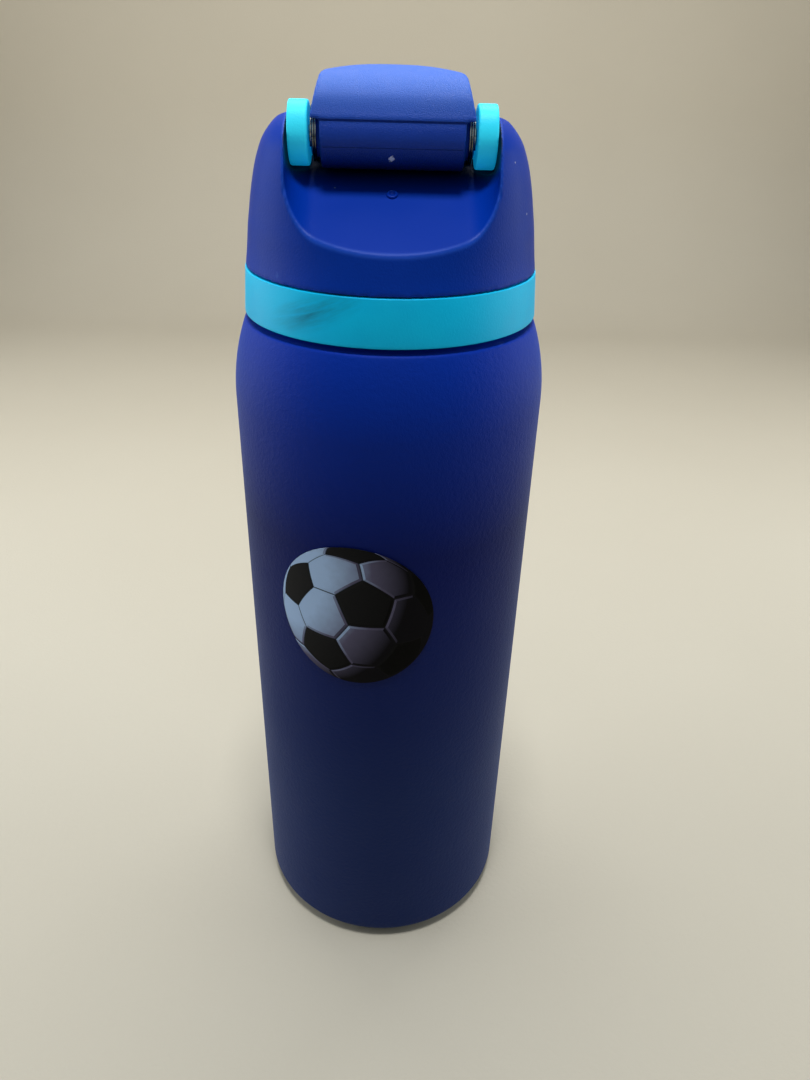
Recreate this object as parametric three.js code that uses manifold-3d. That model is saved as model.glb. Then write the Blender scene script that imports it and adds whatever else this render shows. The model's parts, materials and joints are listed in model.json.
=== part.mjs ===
// A kids' vacuum-insulated water bottle with a flip-top sipping lid, as an assembly of its real pieces.
// Millimetres, Z up. The bottle's axis is the Z axis and it stands on z = 0. The hinge side of the lid
// faces -Y and the push button faces +Y.
import * as THREE from 'three';
import { mergeVertices } from 'three/addons/utils/BufferGeometryUtils.js';
import Module from 'manifold-3d';

const wasm = await Module();
wasm.setup();

// ---------------------------------------------------------------- driving dimensions
const ROUND_STEPS = 40; // facets round the large turned pieces
const FINE_STEPS = 20; // facets round small pins and bores
const GAP = 0.3; // gap kept between pieces that touch
const RUN = 0.4; // gap kept between pieces that slide or turn past each other

// Steel body
const BODY_RADIUS = 36.5;
const BODY_WALL = 0.8;
const MOUTH_TOP = 184.5;
const BODY_BOTTOM = 2; // underside of the steel body, above the rubber foot
const BASE_CORNER = 3; // radius of the rolled bottom edge
const NECK_RISE = 4.2; // how far the mouth stands above the shoulder
const SHOULDER_RISE = 18.3; // height of the curve from the straight wall to the shoulder's top
const SHOULDER_SWEEP = 49; // radius of that curve
const NECK_INSET = 6.5; // from the body's outside to the neck's outside
const NECK_WALL = 0.6;
const LINER_WALL = 0.6;
const VACUUM_GAP = 2.1; // space between the two walls
const LINER_FLOOR = 9.4; // inside floor of the bottle
const LINER_CORNER = 6;
const NECK_DEPTH = 17.5; // length of the straight threaded mouth
const NECK_FLARE = 8; // height over which the liner widens below the mouth
const BASE_CUP_RISE = 2.1; // how far the base cup is pressed up in its middle
const SEAL_CAP_RADIUS = 5;
const GETTER_RADIUS = 6.5;
const FOOT_INSET = 2.3;
const FOOT_WIDTH = 9.2;

// Printed ball on the wall
const BALL_RADIUS = 19;
const BALL_DROP = 43.2; // its centre, below the start of the shoulder
const BALL_AROUND = -7.8; // distance of its centre round the wall from the -Y line
const FILM = 0.2;
const FILM_LIFT = 0.2;

// Screw thread between the lid and the mouth
const PITCH = 4;
const THREAD_TURNS = 1.25;
const RIDGE_ROOT = 1.4; // height of a ridge at its foot
const RIDGE_CREST = 0.8; // height of a ridge at its crest
const MOUTH_RIDGE = 1.3; // how far the mouth's ridge stands in
const PLUG_RIDGE = 1.3; // how far the plug's ridge stands out
const THREAD_DEPTH = 14.1; // middle of the plug's ridge where it starts, below the mouth's top
const PLUG_WALL = 2;
const PLUG_LENGTH = 16;

// Collar, the lid's coloured base
const COLLAR_LIFT = 1.2; // gap between the shoulder and the collar
const BAND_HEIGHT = 9.7;
const BAND_INSET = 3.5; // from the body's outside to the band's widest
const BAND_TAPER = 0.7;
const SEAL_THICKNESS = 1.8;
const DECK_THICKNESS = 2.5;
const UPSTAND_WALL = 1.8;
const UPSTAND_HEIGHT = 5.8;

// Lid shell: heights are above the band
const LID_HEIGHT = 30.8;
const LID_WALL = 2.4;
const LID_FLOOR_WALL = 2.2;
const LID_VOID_HEIGHT = 16.8;
const LID_SQUARENESS = 0.65; // added to a circle's exponent of 2 at the top of the lid
const CHEEK = 11.9; // from the band's upper edge in to the bay between the two cheeks
const SCOOP_LIP_INSET = 0.8;
const SCOOP_LIP_HEIGHT = 7.5;
const SCOOP_CORNER = 6;
const DOT_RADIUS = 1.1; // bump stop on the scoop's floor
const DOT_HEIGHT = 0.5;
const DOT_BEHIND = 4.3; // from the hinge line

// Hinge
const HINGE_INSET = 19.8; // from the band's upper edge in to the hinge line
const HINGE_HEIGHT = 26.8; // above the band
const LEAN = THREE.MathUtils.degToRad(10); // how far the cover and loop slope down to the front
const PIN_RADIUS = 1.5;
const PIN_GRIP = 1.2; // length of pin held in each cheek
const BARREL_RADIUS = 6.2;
const BOSS_RADIUS = 4.2;
const EAR_RADIUS = 5.85;
const EAR_THICKNESS = 3.9;
const SPRING_SPACE = 2.3; // from the barrel's end to the loop's ear

// Flip cover, in the hinge's leaning frame: y runs forward from the hinge line and z away from the deck
const COVER_CROWN_INSET = 2.6; // how much narrower each side of the cover is at its crown
const COVER_FRONT_INSET = 5.7; // from the band's upper edge in to the cover's front end
const COVER_BOTTOM = -2.4;
const COVER_WALL = 1.9;
const COVER_CROWN = 13.6;
const COVER_LIP_TOP = 2.2;

// Carry loop
const LOOP_HALF_THICKNESS = 2.9;
const LOOP_FRONT_INSET = 0.8;
const LOOP_FRONT_WIDTH = 4;
const LOOP_OUTER_CORNER = 5;
const LOOP_INNER_CORNER = 3;

// Spout, straw and vent
const SPOUT_SIDE = 5.3; // from the cover's side in to the spout's side
const SPOUT_BEHIND = 8.5; // from the hinge line to the spout
const SPOUT_RISE = 4.3; // its top, above the hinge line in the leaning frame
const SPOUT_LEDGE = [2.3, 1.4]; // how much smaller the stub through the deck is, to each side
const GASKET_WIDTH = 1.2;
const STUB_RISE = 0.5; // the stub's underside, above the mouth
const SWIG_HALF = [7, 3.2];
const SWIG_WALL = 1.4;
const SIP_RADIUS = 2.3;
const SIP_WALL = 0.7;
const SIP_AHEAD = 3.4; // the straw's line, ahead of the spout's middle
const NIPPLE_LENGTH = 8.5;
const STRAW_WALL = 1;
const STRAW_CLEARANCE = 12.6; // between the straw and the bottle's floor
const VENT_BEHIND = 5; // from the spout's back to the vent valve
const VENT_RADIUS = 1.6;
const VENT_FLAP = 4;

// Cover lining and seal
const SEAL_PAD_INSET = [0.9, 1];
const SEAL_PAD_THICKNESS = 2.8;
const LINING_THICKNESS = 1.5;
const LINING_INSET = 4.6;
const LINING_FROM = 9.6;
const LINING_BEHIND_NOSE = 15.9;

// Push button
const BUTTON_HALF = 10;
const BUTTON_RISE = 2.8; // its lower edge, above the band
const BUTTON_HEIGHT = 10.2;
const BUTTON_PROUD = 0.4;
const BUTTON_DEPTH = 8.7; // from the band's upper edge in to the button's back
const BUTTON_FLANGE = 1.4;
const BUTTON_TRAVEL = 2;
const SEAT_DEPTH = 8.2; // from the button's back in to the post that its spring pushes on
const POST_THICKNESS = 2.2;
const POST_CLEARANCE = 1.2; // between that post and the spout
const HOOK_HALF = 5;
const HOOK_RISE = 7.2; // above the button
const BUTTON_COIL = 2.4;

// ---------------------------------------------------------------- sizes that follow from them
const SHOULDER_TOP = MOUTH_TOP - NECK_RISE;
const SHOULDER_START = SHOULDER_TOP - SHOULDER_RISE;
const NECK_RADIUS = BODY_RADIUS - NECK_INSET;
const MOUTH_RADIUS = NECK_RADIUS - NECK_WALL - LINER_WALL - 0.2;
const LINER_RADIUS = BODY_RADIUS - BODY_WALL - VACUUM_GAP - LINER_WALL;
const FOOT_RADIUS = BODY_RADIUS - FOOT_INSET;
const FOOT_BORE = FOOT_RADIUS - FOOT_WIDTH;
const BALL_HEIGHT = SHOULDER_START - BALL_DROP;

const PLUG_RADIUS = MOUTH_RADIUS - MOUTH_RIDGE - RUN;
const PLUG_BOTTOM = MOUTH_TOP - PLUG_LENGTH;
const THREAD_LOW = MOUTH_TOP - THREAD_DEPTH;
const BAND_BOTTOM = SHOULDER_TOP + COLLAR_LIFT;
const BAND_TOP = BAND_BOTTOM + BAND_HEIGHT;
const BAND_RADIUS_LOW = BODY_RADIUS - BAND_INSET;
const BAND_RADIUS_HIGH = BAND_RADIUS_LOW - BAND_TAPER;
const UPSTAND_RADIUS = BAND_RADIUS_HIGH - LID_WALL - 1.4;
const UPSTAND_TOP = BAND_TOP + UPSTAND_HEIGHT;

const HINGE = [HINGE_INSET - BAND_RADIUS_HIGH, BAND_TOP + HINGE_HEIGHT]; // y and z of the hinge line
const POCKET_RADIUS = BARREL_RADIUS + RUN;
const LID_TOP = BAND_TOP + LID_HEIGHT;
const LID_VOID_TOP = BAND_TOP + LID_VOID_HEIGHT;
const BAY_HALF_WIDTH = BAND_RADIUS_HIGH - CHEEK;
const SCOOP_LIP = [SCOOP_LIP_INSET - BAND_RADIUS_HIGH, BAND_TOP + SCOOP_LIP_HEIGHT]; // y and z
// The scoop's floor runs from its lip to just touch the pocket round the hinge.
const SCOOP_REACH = Math.hypot(HINGE[0] - SCOOP_LIP[0], HINGE[1] - SCOOP_LIP[1]);
const SCOOP_SLOPE = Math.atan2(HINGE[1] - SCOOP_LIP[1], HINGE[0] - SCOOP_LIP[0]) -
  Math.asin(POCKET_RADIUS / SCOOP_REACH);
const DOT_Y = HINGE[0] - DOT_BEHIND;

const PIN_HALF = BAY_HALF_WIDTH + PIN_GRIP;
const EAR_OUT = BAY_HALF_WIDTH - GAP;
const EAR_IN = EAR_OUT - EAR_THICKNESS;
const BARREL_HALF = EAR_IN - SPRING_SPACE;
const COVER_HALF = EAR_IN - RUN;
const COVER_TOP_HALF = COVER_HALF - COVER_CROWN_INSET;
const COVER_BACK = [-BARREL_RADIUS - 0.13, 1.93];
const COVER_FRONT = BAND_RADIUS_HIGH - COVER_FRONT_INSET;
const LOOP_FRONT_OUT = BAND_RADIUS_HIGH - LOOP_FRONT_INSET;
const LOOP_FRONT_IN = LOOP_FRONT_OUT - LOOP_FRONT_WIDTH;

const BUTTON_LOW = BAND_TOP + BUTTON_RISE;
const BUTTON_HIGH = BUTTON_LOW + BUTTON_HEIGHT;
const BUTTON_BACK = BAND_RADIUS_HIGH - BUTTON_DEPTH;
const SEAT_FRONT = BUTTON_BACK - SEAT_DEPTH;
const HOOK_TOP = BUTTON_HIGH + HOOK_RISE;

const SPOUT_BACK = HINGE[0] + SPOUT_BEHIND;
const SPOUT_FRONT = SEAT_FRONT - POST_THICKNESS - POST_CLEARANCE;
const SPOUT_Y = (SPOUT_BACK + SPOUT_FRONT) / 2;
const SPOUT_HALF = [COVER_HALF - SPOUT_SIDE, (SPOUT_FRONT - SPOUT_BACK) / 2];
const STUB_HALF = [SPOUT_HALF[0] - SPOUT_LEDGE[0], SPOUT_HALF[1] - SPOUT_LEDGE[1]];
const STUB_BOTTOM = MOUTH_TOP + STUB_RISE;
const SWIG_Y = SPOUT_BACK + SWIG_WALL + SWIG_HALF[1];
const SIP_Y = SPOUT_Y + SIP_AHEAD;
const NIPPLE_RADIUS = SIP_RADIUS + SIP_WALL;
const NIPPLE_BOTTOM = STUB_BOTTOM - NIPPLE_LENGTH;
const STRAW_RADIUS = NIPPLE_RADIUS + GAP + STRAW_WALL;
const STRAW_TOP = STUB_BOTTOM - 2 * GAP;
const STRAW_BOTTOM = LINER_FLOOR + STRAW_CLEARANCE;
const SEAL_PAD_HALF = [SPOUT_HALF[0] - SEAL_PAD_INSET[0], SPOUT_HALF[1] - SEAL_PAD_INSET[1]];
const LINING_HALF = COVER_HALF - LINING_INSET;
const GASKET_HALF = STUB_HALF.map((half) => half + RUN + GASKET_WIDTH);
const VENT = [-GASKET_HALF[0] - VENT_FLAP - 0.2, SPOUT_BACK - VENT_BEHIND];

// ---------------------------------------------------------------- materials
const finish = (color, roughness, metalness = 0) =>
  new THREE.MeshStandardMaterial({ color, roughness, metalness });
const BLUE_COAT = finish(0x16298f, 0.5);
const BLUE_PLASTIC = finish(0x1c34a8, 0.42);
const CYAN_PLASTIC = finish(0x16b4de, 0.4);
const STEEL = finish(0xb9bcc0, 0.35, 0.9);
const SPRING_STEEL = finish(0x8d8f94, 0.25, 1);
const BLACK_RUBBER = finish(0x141416, 0.8);
const CLEAR_SILICONE = finish(0xdfe4e8, 0.5);
const STRAW_PLASTIC = finish(0xd5dbe2, 0.3);
const PRINT = finish(0x8d9fb8, 0.45);

// ---------------------------------------------------------------- shape helpers
// A closed geometry as a solid for joining and cutting, with its faces turned out.
function solid(geometry) {
  const bare = geometry.index ? geometry.toNonIndexed() : geometry.clone();
  bare.deleteAttribute('normal');
  bare.deleteAttribute('uv');
  const merged = mergeVertices(bare, 1e-4);
  const vertProperties = merged.attributes.position.array;
  const triVerts = new Uint32Array(merged.index.array);
  const made = new wasm.Manifold(new wasm.Mesh({ numProp: 3, vertProperties, triVerts }));
  if (made.volume() >= 0) return made;
  for (let i = 0; i < triVerts.length; i += 3) {
    [triVerts[i + 1], triVerts[i + 2]] = [triVerts[i + 2], triVerts[i + 1]];
  }
  return new wasm.Manifold(new wasm.Mesh({ numProp: 3, vertProperties, triVerts }));
}

function geometryOf(body) {
  const { numProp, numVert, vertProperties, triVerts } = body.getMesh();
  const positions = new Float32Array(numVert * 3);
  for (let i = 0; i < numVert; i++) {
    positions.set(vertProperties.subarray(i * numProp, i * numProp + 3), i * 3);
  }
  const geometry = new THREE.BufferGeometry();
  geometry.setAttribute('position', new THREE.BufferAttribute(positions, 3));
  geometry.setIndex(new THREE.BufferAttribute(new Uint32Array(triVerts), 1));
  geometry.computeVertexNormals();
  return geometry;
}

// Points of an arc from one angle to another, in degrees.
function arc(cx, cy, radius, from, to, steps = 8) {
  return Array.from({ length: steps + 1 }, (_, i) => {
    const a = THREE.MathUtils.degToRad(from + ((to - from) * i) / steps);
    return [cx + radius * Math.cos(a), cy + radius * Math.sin(a)];
  });
}

// A turned solid from a profile of [radius, height] points, closed on itself or ending on the axis.
function turned(profile, steps = ROUND_STEPS) {
  const points = profile.map(([r, z]) => new THREE.Vector2(Math.max(r, 0), z));
  const closed = profile[0][0] > 0 || profile.at(-1)[0] > 0;
  if (closed) points.push(points[0].clone());
  return new THREE.LatheGeometry(points, steps).rotateX(Math.PI / 2);
}

const AXES = {
  x: [new THREE.Vector3(0, 1, 0), new THREE.Vector3(0, 0, 1), new THREE.Vector3(1, 0, 0)],
  y: [new THREE.Vector3(1, 0, 0), new THREE.Vector3(0, 0, 1), new THREE.Vector3(0, -1, 0)],
  z: [new THREE.Vector3(1, 0, 0), new THREE.Vector3(0, 1, 0), new THREE.Vector3(0, 0, 1)],
};

// An outline pushed along an axis: [y, z] points along x, [x, z] along y and [x, y] along z.
function extruded(outline, axis, from, to) {
  const shape =
    outline instanceof THREE.Shape ? outline : new THREE.Shape(outline.map((p) => new THREE.Vector2(...p)));
  const geometry = new THREE.ExtrudeGeometry(shape, {
    depth: to - from,
    bevelEnabled: false,
    curveSegments: 6,
  });
  geometry.translate(0, 0, axis === 'y' ? -to : from);
  return geometry.applyMatrix4(new THREE.Matrix4().makeBasis(...AXES[axis]));
}

const block = (x0, x1, y0, y1, z0, z1) =>
  new THREE.BoxGeometry(x1 - x0, y1 - y0, z1 - z0).translate((x0 + x1) / 2, (y0 + y1) / 2, (z0 + z1) / 2);

// A round bar along X from x0 to x1, about the line y = cy, z = cz.
const barX = (radius, x0, x1, cy = 0, cz = 0, steps = FINE_STEPS) =>
  new THREE.CylinderGeometry(radius, radius, x1 - x0, steps)
    .rotateZ(-Math.PI / 2)
    .translate((x0 + x1) / 2, cy, cz);

const barZ = (radius, cx, cy, z0, z1, steps = FINE_STEPS) =>
  new THREE.CylinderGeometry(radius, radius, z1 - z0, steps)
    .rotateX(Math.PI / 2)
    .translate(cx, cy, (z0 + z1) / 2);

// A slot shape with round ends, longer in x, as a shape for extruded().
function slotShape(halfX, halfY, cy = 0) {
  const straight = halfX - halfY;
  return [
    ...arc(straight, cy, halfY, -90, 90, 10),
    ...arc(-straight, cy, halfY, 90, 270, 10),
  ];
}

const slotBar = (halfX, halfY, cy, z0, z1) => extruded(slotShape(halfX, halfY, cy), 'z', z0, z1);

// The frame that the cover, the loop and the deck share: at the hinge line and leaning to the front.
const leaning = new THREE.Matrix4()
  .makeTranslation(0, HINGE[0], HINGE[1])
  .multiply(new THREE.Matrix4().makeRotationX(-LEAN));
const lean = (geometry) => geometry.applyMatrix4(leaning);
const AXIS_AHEAD = -HINGE[0] / Math.cos(LEAN); // the bottle's axis, as met along the leaning frame

const root = new THREE.Group();
const hingeFrame = new THREE.Group();
hingeFrame.position.set(0, HINGE[0], HINGE[1]);
hingeFrame.rotation.x = -LEAN;
root.add(hingeFrame);

function piece(name, shape, material, parent = root) {
  const mesh = new THREE.Mesh(shape.isBufferGeometry ? shape : geometryOf(shape), material);
  mesh.name = name;
  parent.add(mesh);
}

// A helical ridge: a trapezium swept round the axis. Its foot is at footRadius, it stands out by height
// (negative stands in) and its middle starts at z = low.
function ridge(footRadius, height, low) {
  const sunk = Math.sign(height) * 0.2; // let into the wall, so that the two join
  const outline = [
    [footRadius - sunk, -RIDGE_ROOT / 2],
    [footRadius + height, -RIDGE_CREST / 2],
    [footRadius + height, RIDGE_CREST / 2],
    [footRadius - sunk, RIDGE_ROOT / 2],
  ];
  const shape = new THREE.Shape(outline.map((p) => new THREE.Vector2(...p)));
  const steps = Math.round(ROUND_STEPS * THREAD_TURNS);
  const swept = new THREE.ExtrudeGeometry(shape, { depth: THREAD_TURNS, steps, bevelEnabled: false });
  const position = swept.attributes.position;
  for (let i = 0; i < position.count; i++) {
    const turn = position.getZ(i);
    const angle = turn * 2 * Math.PI;
    const r = position.getX(i);
    const z = low + position.getY(i) + turn * PITCH;
    position.setXYZ(i, r * Math.cos(angle), r * Math.sin(angle), z);
  }
  return swept;
}

// ---------------------------------------------------------------- steel body
const shoulderX = BODY_RADIUS - SHOULDER_SWEEP; // centre of the shoulder's curve
const SHOULDER_EDGE = 0.7; // rounding where the shoulder meets its flat top

// Radius of the shoulder's curve at a height, for the outside or, with an inset, the inside.
const shoulderAt = (z, inset = 0) =>
  shoulderX + Math.sqrt((SHOULDER_SWEEP - inset) ** 2 - (z - SHOULDER_START) ** 2);

function shoulderCurve(inset, top, steps = 8) {
  return Array.from({ length: steps + 1 }, (_, i) => {
    const z = SHOULDER_START + ((top - SHOULDER_START) * i) / steps;
    return [shoulderAt(z, inset), z];
  });
}

function outerShell() {
  const cornerX = BODY_RADIUS - BASE_CORNER;
  const cornerZ = BODY_BOTTOM + BASE_CORNER;
  const hem = cornerX - 0.9;
  const edge = SHOULDER_TOP - SHOULDER_EDGE;
  const edgeX = shoulderAt(edge);
  const inside = SHOULDER_TOP - BODY_WALL;
  const shellTop = MOUTH_TOP - LINER_WALL - GAP;
  return turned([
    [hem, BODY_BOTTOM],
    ...arc(cornerX, cornerZ, BASE_CORNER, -90, 0, 5),
    ...shoulderCurve(0, edge),
    [edgeX - 0.3, SHOULDER_TOP - 0.15],
    [edgeX - 0.9, SHOULDER_TOP],
    [NECK_RADIUS + 0.5, SHOULDER_TOP],
    [NECK_RADIUS, SHOULDER_TOP + 0.5],
    [NECK_RADIUS, shellTop],
    [NECK_RADIUS - NECK_WALL, shellTop],
    [NECK_RADIUS - NECK_WALL, inside],
    ...shoulderCurve(BODY_WALL, inside - SHOULDER_EDGE).reverse(),
    ...arc(cornerX, cornerZ, BASE_CORNER - BODY_WALL, 0, -90, 5),
    [hem, BODY_BOTTOM + BODY_WALL],
  ]);
}

function innerLiner() {
  const neckOut = MOUTH_RADIUS + LINER_WALL - 0.1;
  const bellyOut = LINER_RADIUS + LINER_WALL;
  const neckLow = MOUTH_TOP - NECK_DEPTH;
  const flareLow = neckLow - NECK_FLARE;
  const inCorner = LINER_CORNER - LINER_WALL;
  const floorOut = LINER_FLOOR - LINER_WALL;
  const flare = (rNeck, rBelly) =>
    Array.from({ length: 7 }, (_, i) => {
      const t = i / 6;
      const s = t * t * (3 - 2 * t);
      return [rNeck + (rBelly - rNeck) * s, neckLow - NECK_FLARE * t];
    });
  const wall = turned([
    [0, floorOut],
    ...arc(bellyOut - LINER_CORNER, floorOut + LINER_CORNER, LINER_CORNER, -90, 0, 5),
    [bellyOut, flareLow],
    ...flare(neckOut, bellyOut).reverse().slice(1),
    [neckOut, MOUTH_TOP - LINER_WALL],
    [NECK_RADIUS, MOUTH_TOP - LINER_WALL],
    [NECK_RADIUS, MOUTH_TOP],
    [MOUTH_RADIUS, MOUTH_TOP],
    ...flare(MOUTH_RADIUS, LINER_RADIUS),
    ...arc(LINER_RADIUS - inCorner, LINER_FLOOR + inCorner, inCorner, 0, -90, 5),
    [0, LINER_FLOOR],
  ]);
  // The mouth's ridge sits half a pitch above the plug's, which pulls up against it from below.
  return solid(wall).add(solid(ridge(MOUTH_RADIUS, -MOUTH_RIDGE, THREAD_LOW + PITCH / 2)));
}

function baseParts() {
  const hemTop = BODY_BOTTOM + BODY_WALL + GAP;
  const rim = BODY_RADIUS - BASE_CORNER + GAP;
  const domeFoot = rim - 6;
  const domeTop = hemTop + BASE_CUP_RISE;
  piece(
    'base_cup',
    turned([
      [0, domeTop],
      [domeFoot - 4, domeTop],
      [domeFoot, hemTop],
      [rim, hemTop],
      [rim, hemTop + BODY_WALL],
      [domeFoot + 0.4, hemTop + BODY_WALL],
      [domeFoot - 3.6, domeTop + BODY_WALL],
      [0, domeTop + BODY_WALL],
    ]),
    STEEL,
  );
  const capTop = domeTop - GAP;
  piece(
    'vacuum_seal_cap',
    turned([[0, capTop - 0.9], [SEAL_CAP_RADIUS - 0.4, capTop - 0.9], [SEAL_CAP_RADIUS, capTop - 0.5],
      [SEAL_CAP_RADIUS, capTop], [0, capTop]], FINE_STEPS),
    STEEL,
  );
  const cupTop = LINER_FLOOR - LINER_WALL - GAP;
  piece(
    'getter_cup',
    turned([[0, cupTop - 0.5], [GETTER_RADIUS - 1.5, cupTop - 0.5], [GETTER_RADIUS - 1.5, cupTop - 1.7],
      [GETTER_RADIUS - 1, cupTop - 1.7], [GETTER_RADIUS - 1, cupTop - 0.5], [GETTER_RADIUS, cupTop - 0.5],
      [GETTER_RADIUS, cupTop], [0, cupTop]], FINE_STEPS),
    STEEL,
  );
  piece('getter_pill', barZ(GETTER_RADIUS - 2.4, 0, 0, cupTop - 1.8, cupTop - 0.5 - GAP), SPRING_STEEL);
  piece(
    'base_ring',
    turned([[FOOT_BORE, 0.4], [FOOT_BORE + 0.4, 0], [FOOT_RADIUS - 0.5, 0], [FOOT_RADIUS, 0.5],
      [FOOT_RADIUS, BODY_BOTTOM - GAP], [FOOT_BORE, BODY_BOTTOM - GAP]]),
    BLACK_RUBBER,
  );
}

// A printed film: a flat disc with rings of points, wrapped round the wall.
function ballPrint() {
  const rings = [0, 0.25, 0.5, 0.75, 1].map((t) => t * BALL_RADIUS);
  const disc = turned([...rings.map((r) => [r, 0]), ...rings.reverse().map((r) => [r, FILM])], 32);
  const position = disc.attributes.position;
  for (let i = 0; i < position.count; i++) {
    const radius = BODY_RADIUS + FILM_LIFT + position.getZ(i);
    const angle = (BALL_AROUND + position.getX(i)) / BODY_RADIUS;
    const z = BALL_HEIGHT + position.getY(i);
    position.setXYZ(i, radius * Math.sin(angle), -radius * Math.cos(angle), z);
  }
  return solid(disc);
}

piece('outer_shell', outerShell(), BLUE_COAT);
piece('inner_liner', innerLiner(), STEEL);
baseParts();
piece('ball_decal', ballPrint(), PRINT);

// ---------------------------------------------------------------- collar and neck seal
const SEAL_LOW = MOUTH_TOP + GAP;
const CEILING = SEAL_LOW + SEAL_THICKNESS + GAP; // underside of the collar's deck
const DECK_TOP = CEILING + DECK_THICKNESS;
const SKIRT_IN = NECK_RADIUS + RUN + 0.1;

function lidCollar() {
  const plugIn = PLUG_RADIUS - PLUG_WALL;
  const body = turned([
    [0, CEILING],
    [plugIn, CEILING],
    [plugIn, PLUG_BOTTOM],
    [PLUG_RADIUS - 0.5, PLUG_BOTTOM],
    [PLUG_RADIUS, PLUG_BOTTOM + 0.5],
    [PLUG_RADIUS, CEILING],
    [SKIRT_IN, CEILING],
    [SKIRT_IN, BAND_BOTTOM],
    [BAND_RADIUS_LOW - 0.3, BAND_BOTTOM],
    [BAND_RADIUS_LOW, BAND_BOTTOM + 0.4],
    [BAND_RADIUS_HIGH, BAND_TOP],
    [UPSTAND_RADIUS, BAND_TOP],
    [UPSTAND_RADIUS, UPSTAND_TOP],
    [UPSTAND_RADIUS - UPSTAND_WALL, UPSTAND_TOP],
    [UPSTAND_RADIUS - UPSTAND_WALL, DECK_TOP],
    [0, DECK_TOP],
  ]);
  const notch = block(-BUTTON_HALF - 3, BUTTON_HALF + 3, SPOUT_Y, BODY_RADIUS, BAND_TOP, UPSTAND_TOP + 1);
  const window = slotBar(STUB_HALF[0] + RUN, STUB_HALF[1] + RUN, SPOUT_Y, CEILING - 1, DECK_TOP + 1);
  const ventHole = barZ(VENT_RADIUS, ...VENT, CEILING - 1, DECK_TOP + 1, 16);
  const post = block(-4, 4, SEAT_FRONT - POST_THICKNESS, SEAT_FRONT, DECK_TOP - 0.5, BUTTON_HIGH - 2);
  return solid(body)
    .add(solid(ridge(PLUG_RADIUS, PLUG_RIDGE, THREAD_LOW)))
    .subtract(solid(notch))
    .add(solid(post))
    .subtract(solid(window))
    .subtract(solid(ventHole));
}

function neckSeal() {
  const inner = PLUG_RADIUS + RUN;
  const outer = NECK_RADIUS + 0.1;
  return turned([
    [inner, SEAL_LOW],
    [outer - 0.4, SEAL_LOW],
    [outer, SEAL_LOW + 0.4],
    [outer, SEAL_LOW + SEAL_THICKNESS - 0.4],
    [outer - 0.4, SEAL_LOW + SEAL_THICKNESS],
    [inner, SEAL_LOW + SEAL_THICKNESS],
  ]);
}

piece('lid_collar', lidCollar(), CYAN_PLASTIC);
piece('neck_seal', neckSeal(), CLEAR_SILICONE);

// ---------------------------------------------------------------- lid shell
// The lid's outside, from the band up over the shoulders: how far in from the band's edge, and how high.
const LID_PROFILE = [
  [0.15, GAP],
  [0.55, 2.8],
  [0.95, 5.8],
  [1.35, 8.8],
  [1.9, 11.8],
  [2.45, 14.8],
  [3.1, 17.8],
  [3.85, 20.8],
  [4.7, 23.3],
  [5.55, 25.3],
  [6.75, 27.1],
  [8.2, 28.7],
  [9.8, 29.9],
  [11.3, 30.6],
  [13.3, LID_HEIGHT],
].map(([inset, height]) => [BAND_RADIUS_HIGH - inset, BAND_TOP + height]);

// The lid is round at its band and a little squarer towards its top.
function squaredOff(geometry) {
  const position = geometry.attributes.position;
  for (let i = 0; i < position.count; i++) {
    const x = position.getX(i);
    const y = position.getY(i);
    const r = Math.hypot(x, y);
    if (r < 1e-6) continue;
    const t = THREE.MathUtils.smoothstep(position.getZ(i), BAND_TOP, HINGE[1]);
    const n = 2 + LID_SQUARENESS * t;
    const k = (Math.abs(x / r) ** n + Math.abs(y / r) ** n) ** (-1 / n);
    position.setX(i, x * k);
    position.setY(i, y * k);
  }
  return geometry;
}

function lidForm(inset, top) {
  const profile = LID_PROFILE.filter(([, z]) => z < top).map(([r, z]) => [r - inset, z]);
  const last = profile.at(-1);
  profile[0][1] -= inset > 0 ? 1 : 0;
  return solid(squaredOff(turned([[0, profile[0][1]], ...profile, [last[0], top], [0, top]])));
}

// The scoop behind the hinge: a trough with round lower corners, sloping up to the hinge.
function scoop(grow = 0) {
  const half = BAY_HALF_WIDTH + grow;
  const corner = SCOOP_CORNER + grow;
  const height = 60;
  const outline = [
    ...arc(half - corner, corner - grow, corner, -90, 0, 6),
    [half, height],
    [-half, height],
    ...arc(-half + corner, corner - grow, corner, 180, 270, 6),
  ];
  const reach = Math.sqrt(SCOOP_REACH ** 2 - POCKET_RADIUS ** 2);
  return extruded(outline, 'y', -20, reach)
    .rotateX(SCOOP_SLOPE)
    .translate(0, SCOOP_LIP[0], SCOOP_LIP[1]);
}

// The bay ahead of the hinge, down to the deck that the cover and loop close onto.
const DECK_LEVEL = -LOOP_HALF_THICKNESS - RUN - 0.1;
const bay = (grow = 0) =>
  lean(block(-BAY_HALF_WIDTH - grow, BAY_HALF_WIDTH + grow, -30, 60, DECK_LEVEL - grow, 60));
const hingePocket = (grow = 0) =>
  barX(POCKET_RADIUS + grow, -BAY_HALF_WIDTH - grow, BAY_HALF_WIDTH + grow, ...HINGE, ROUND_STEPS);

const BUTTON_GROW = GAP;
const WINDOW_TOP = BUTTON_HIGH + BUTTON_GROW;

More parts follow.
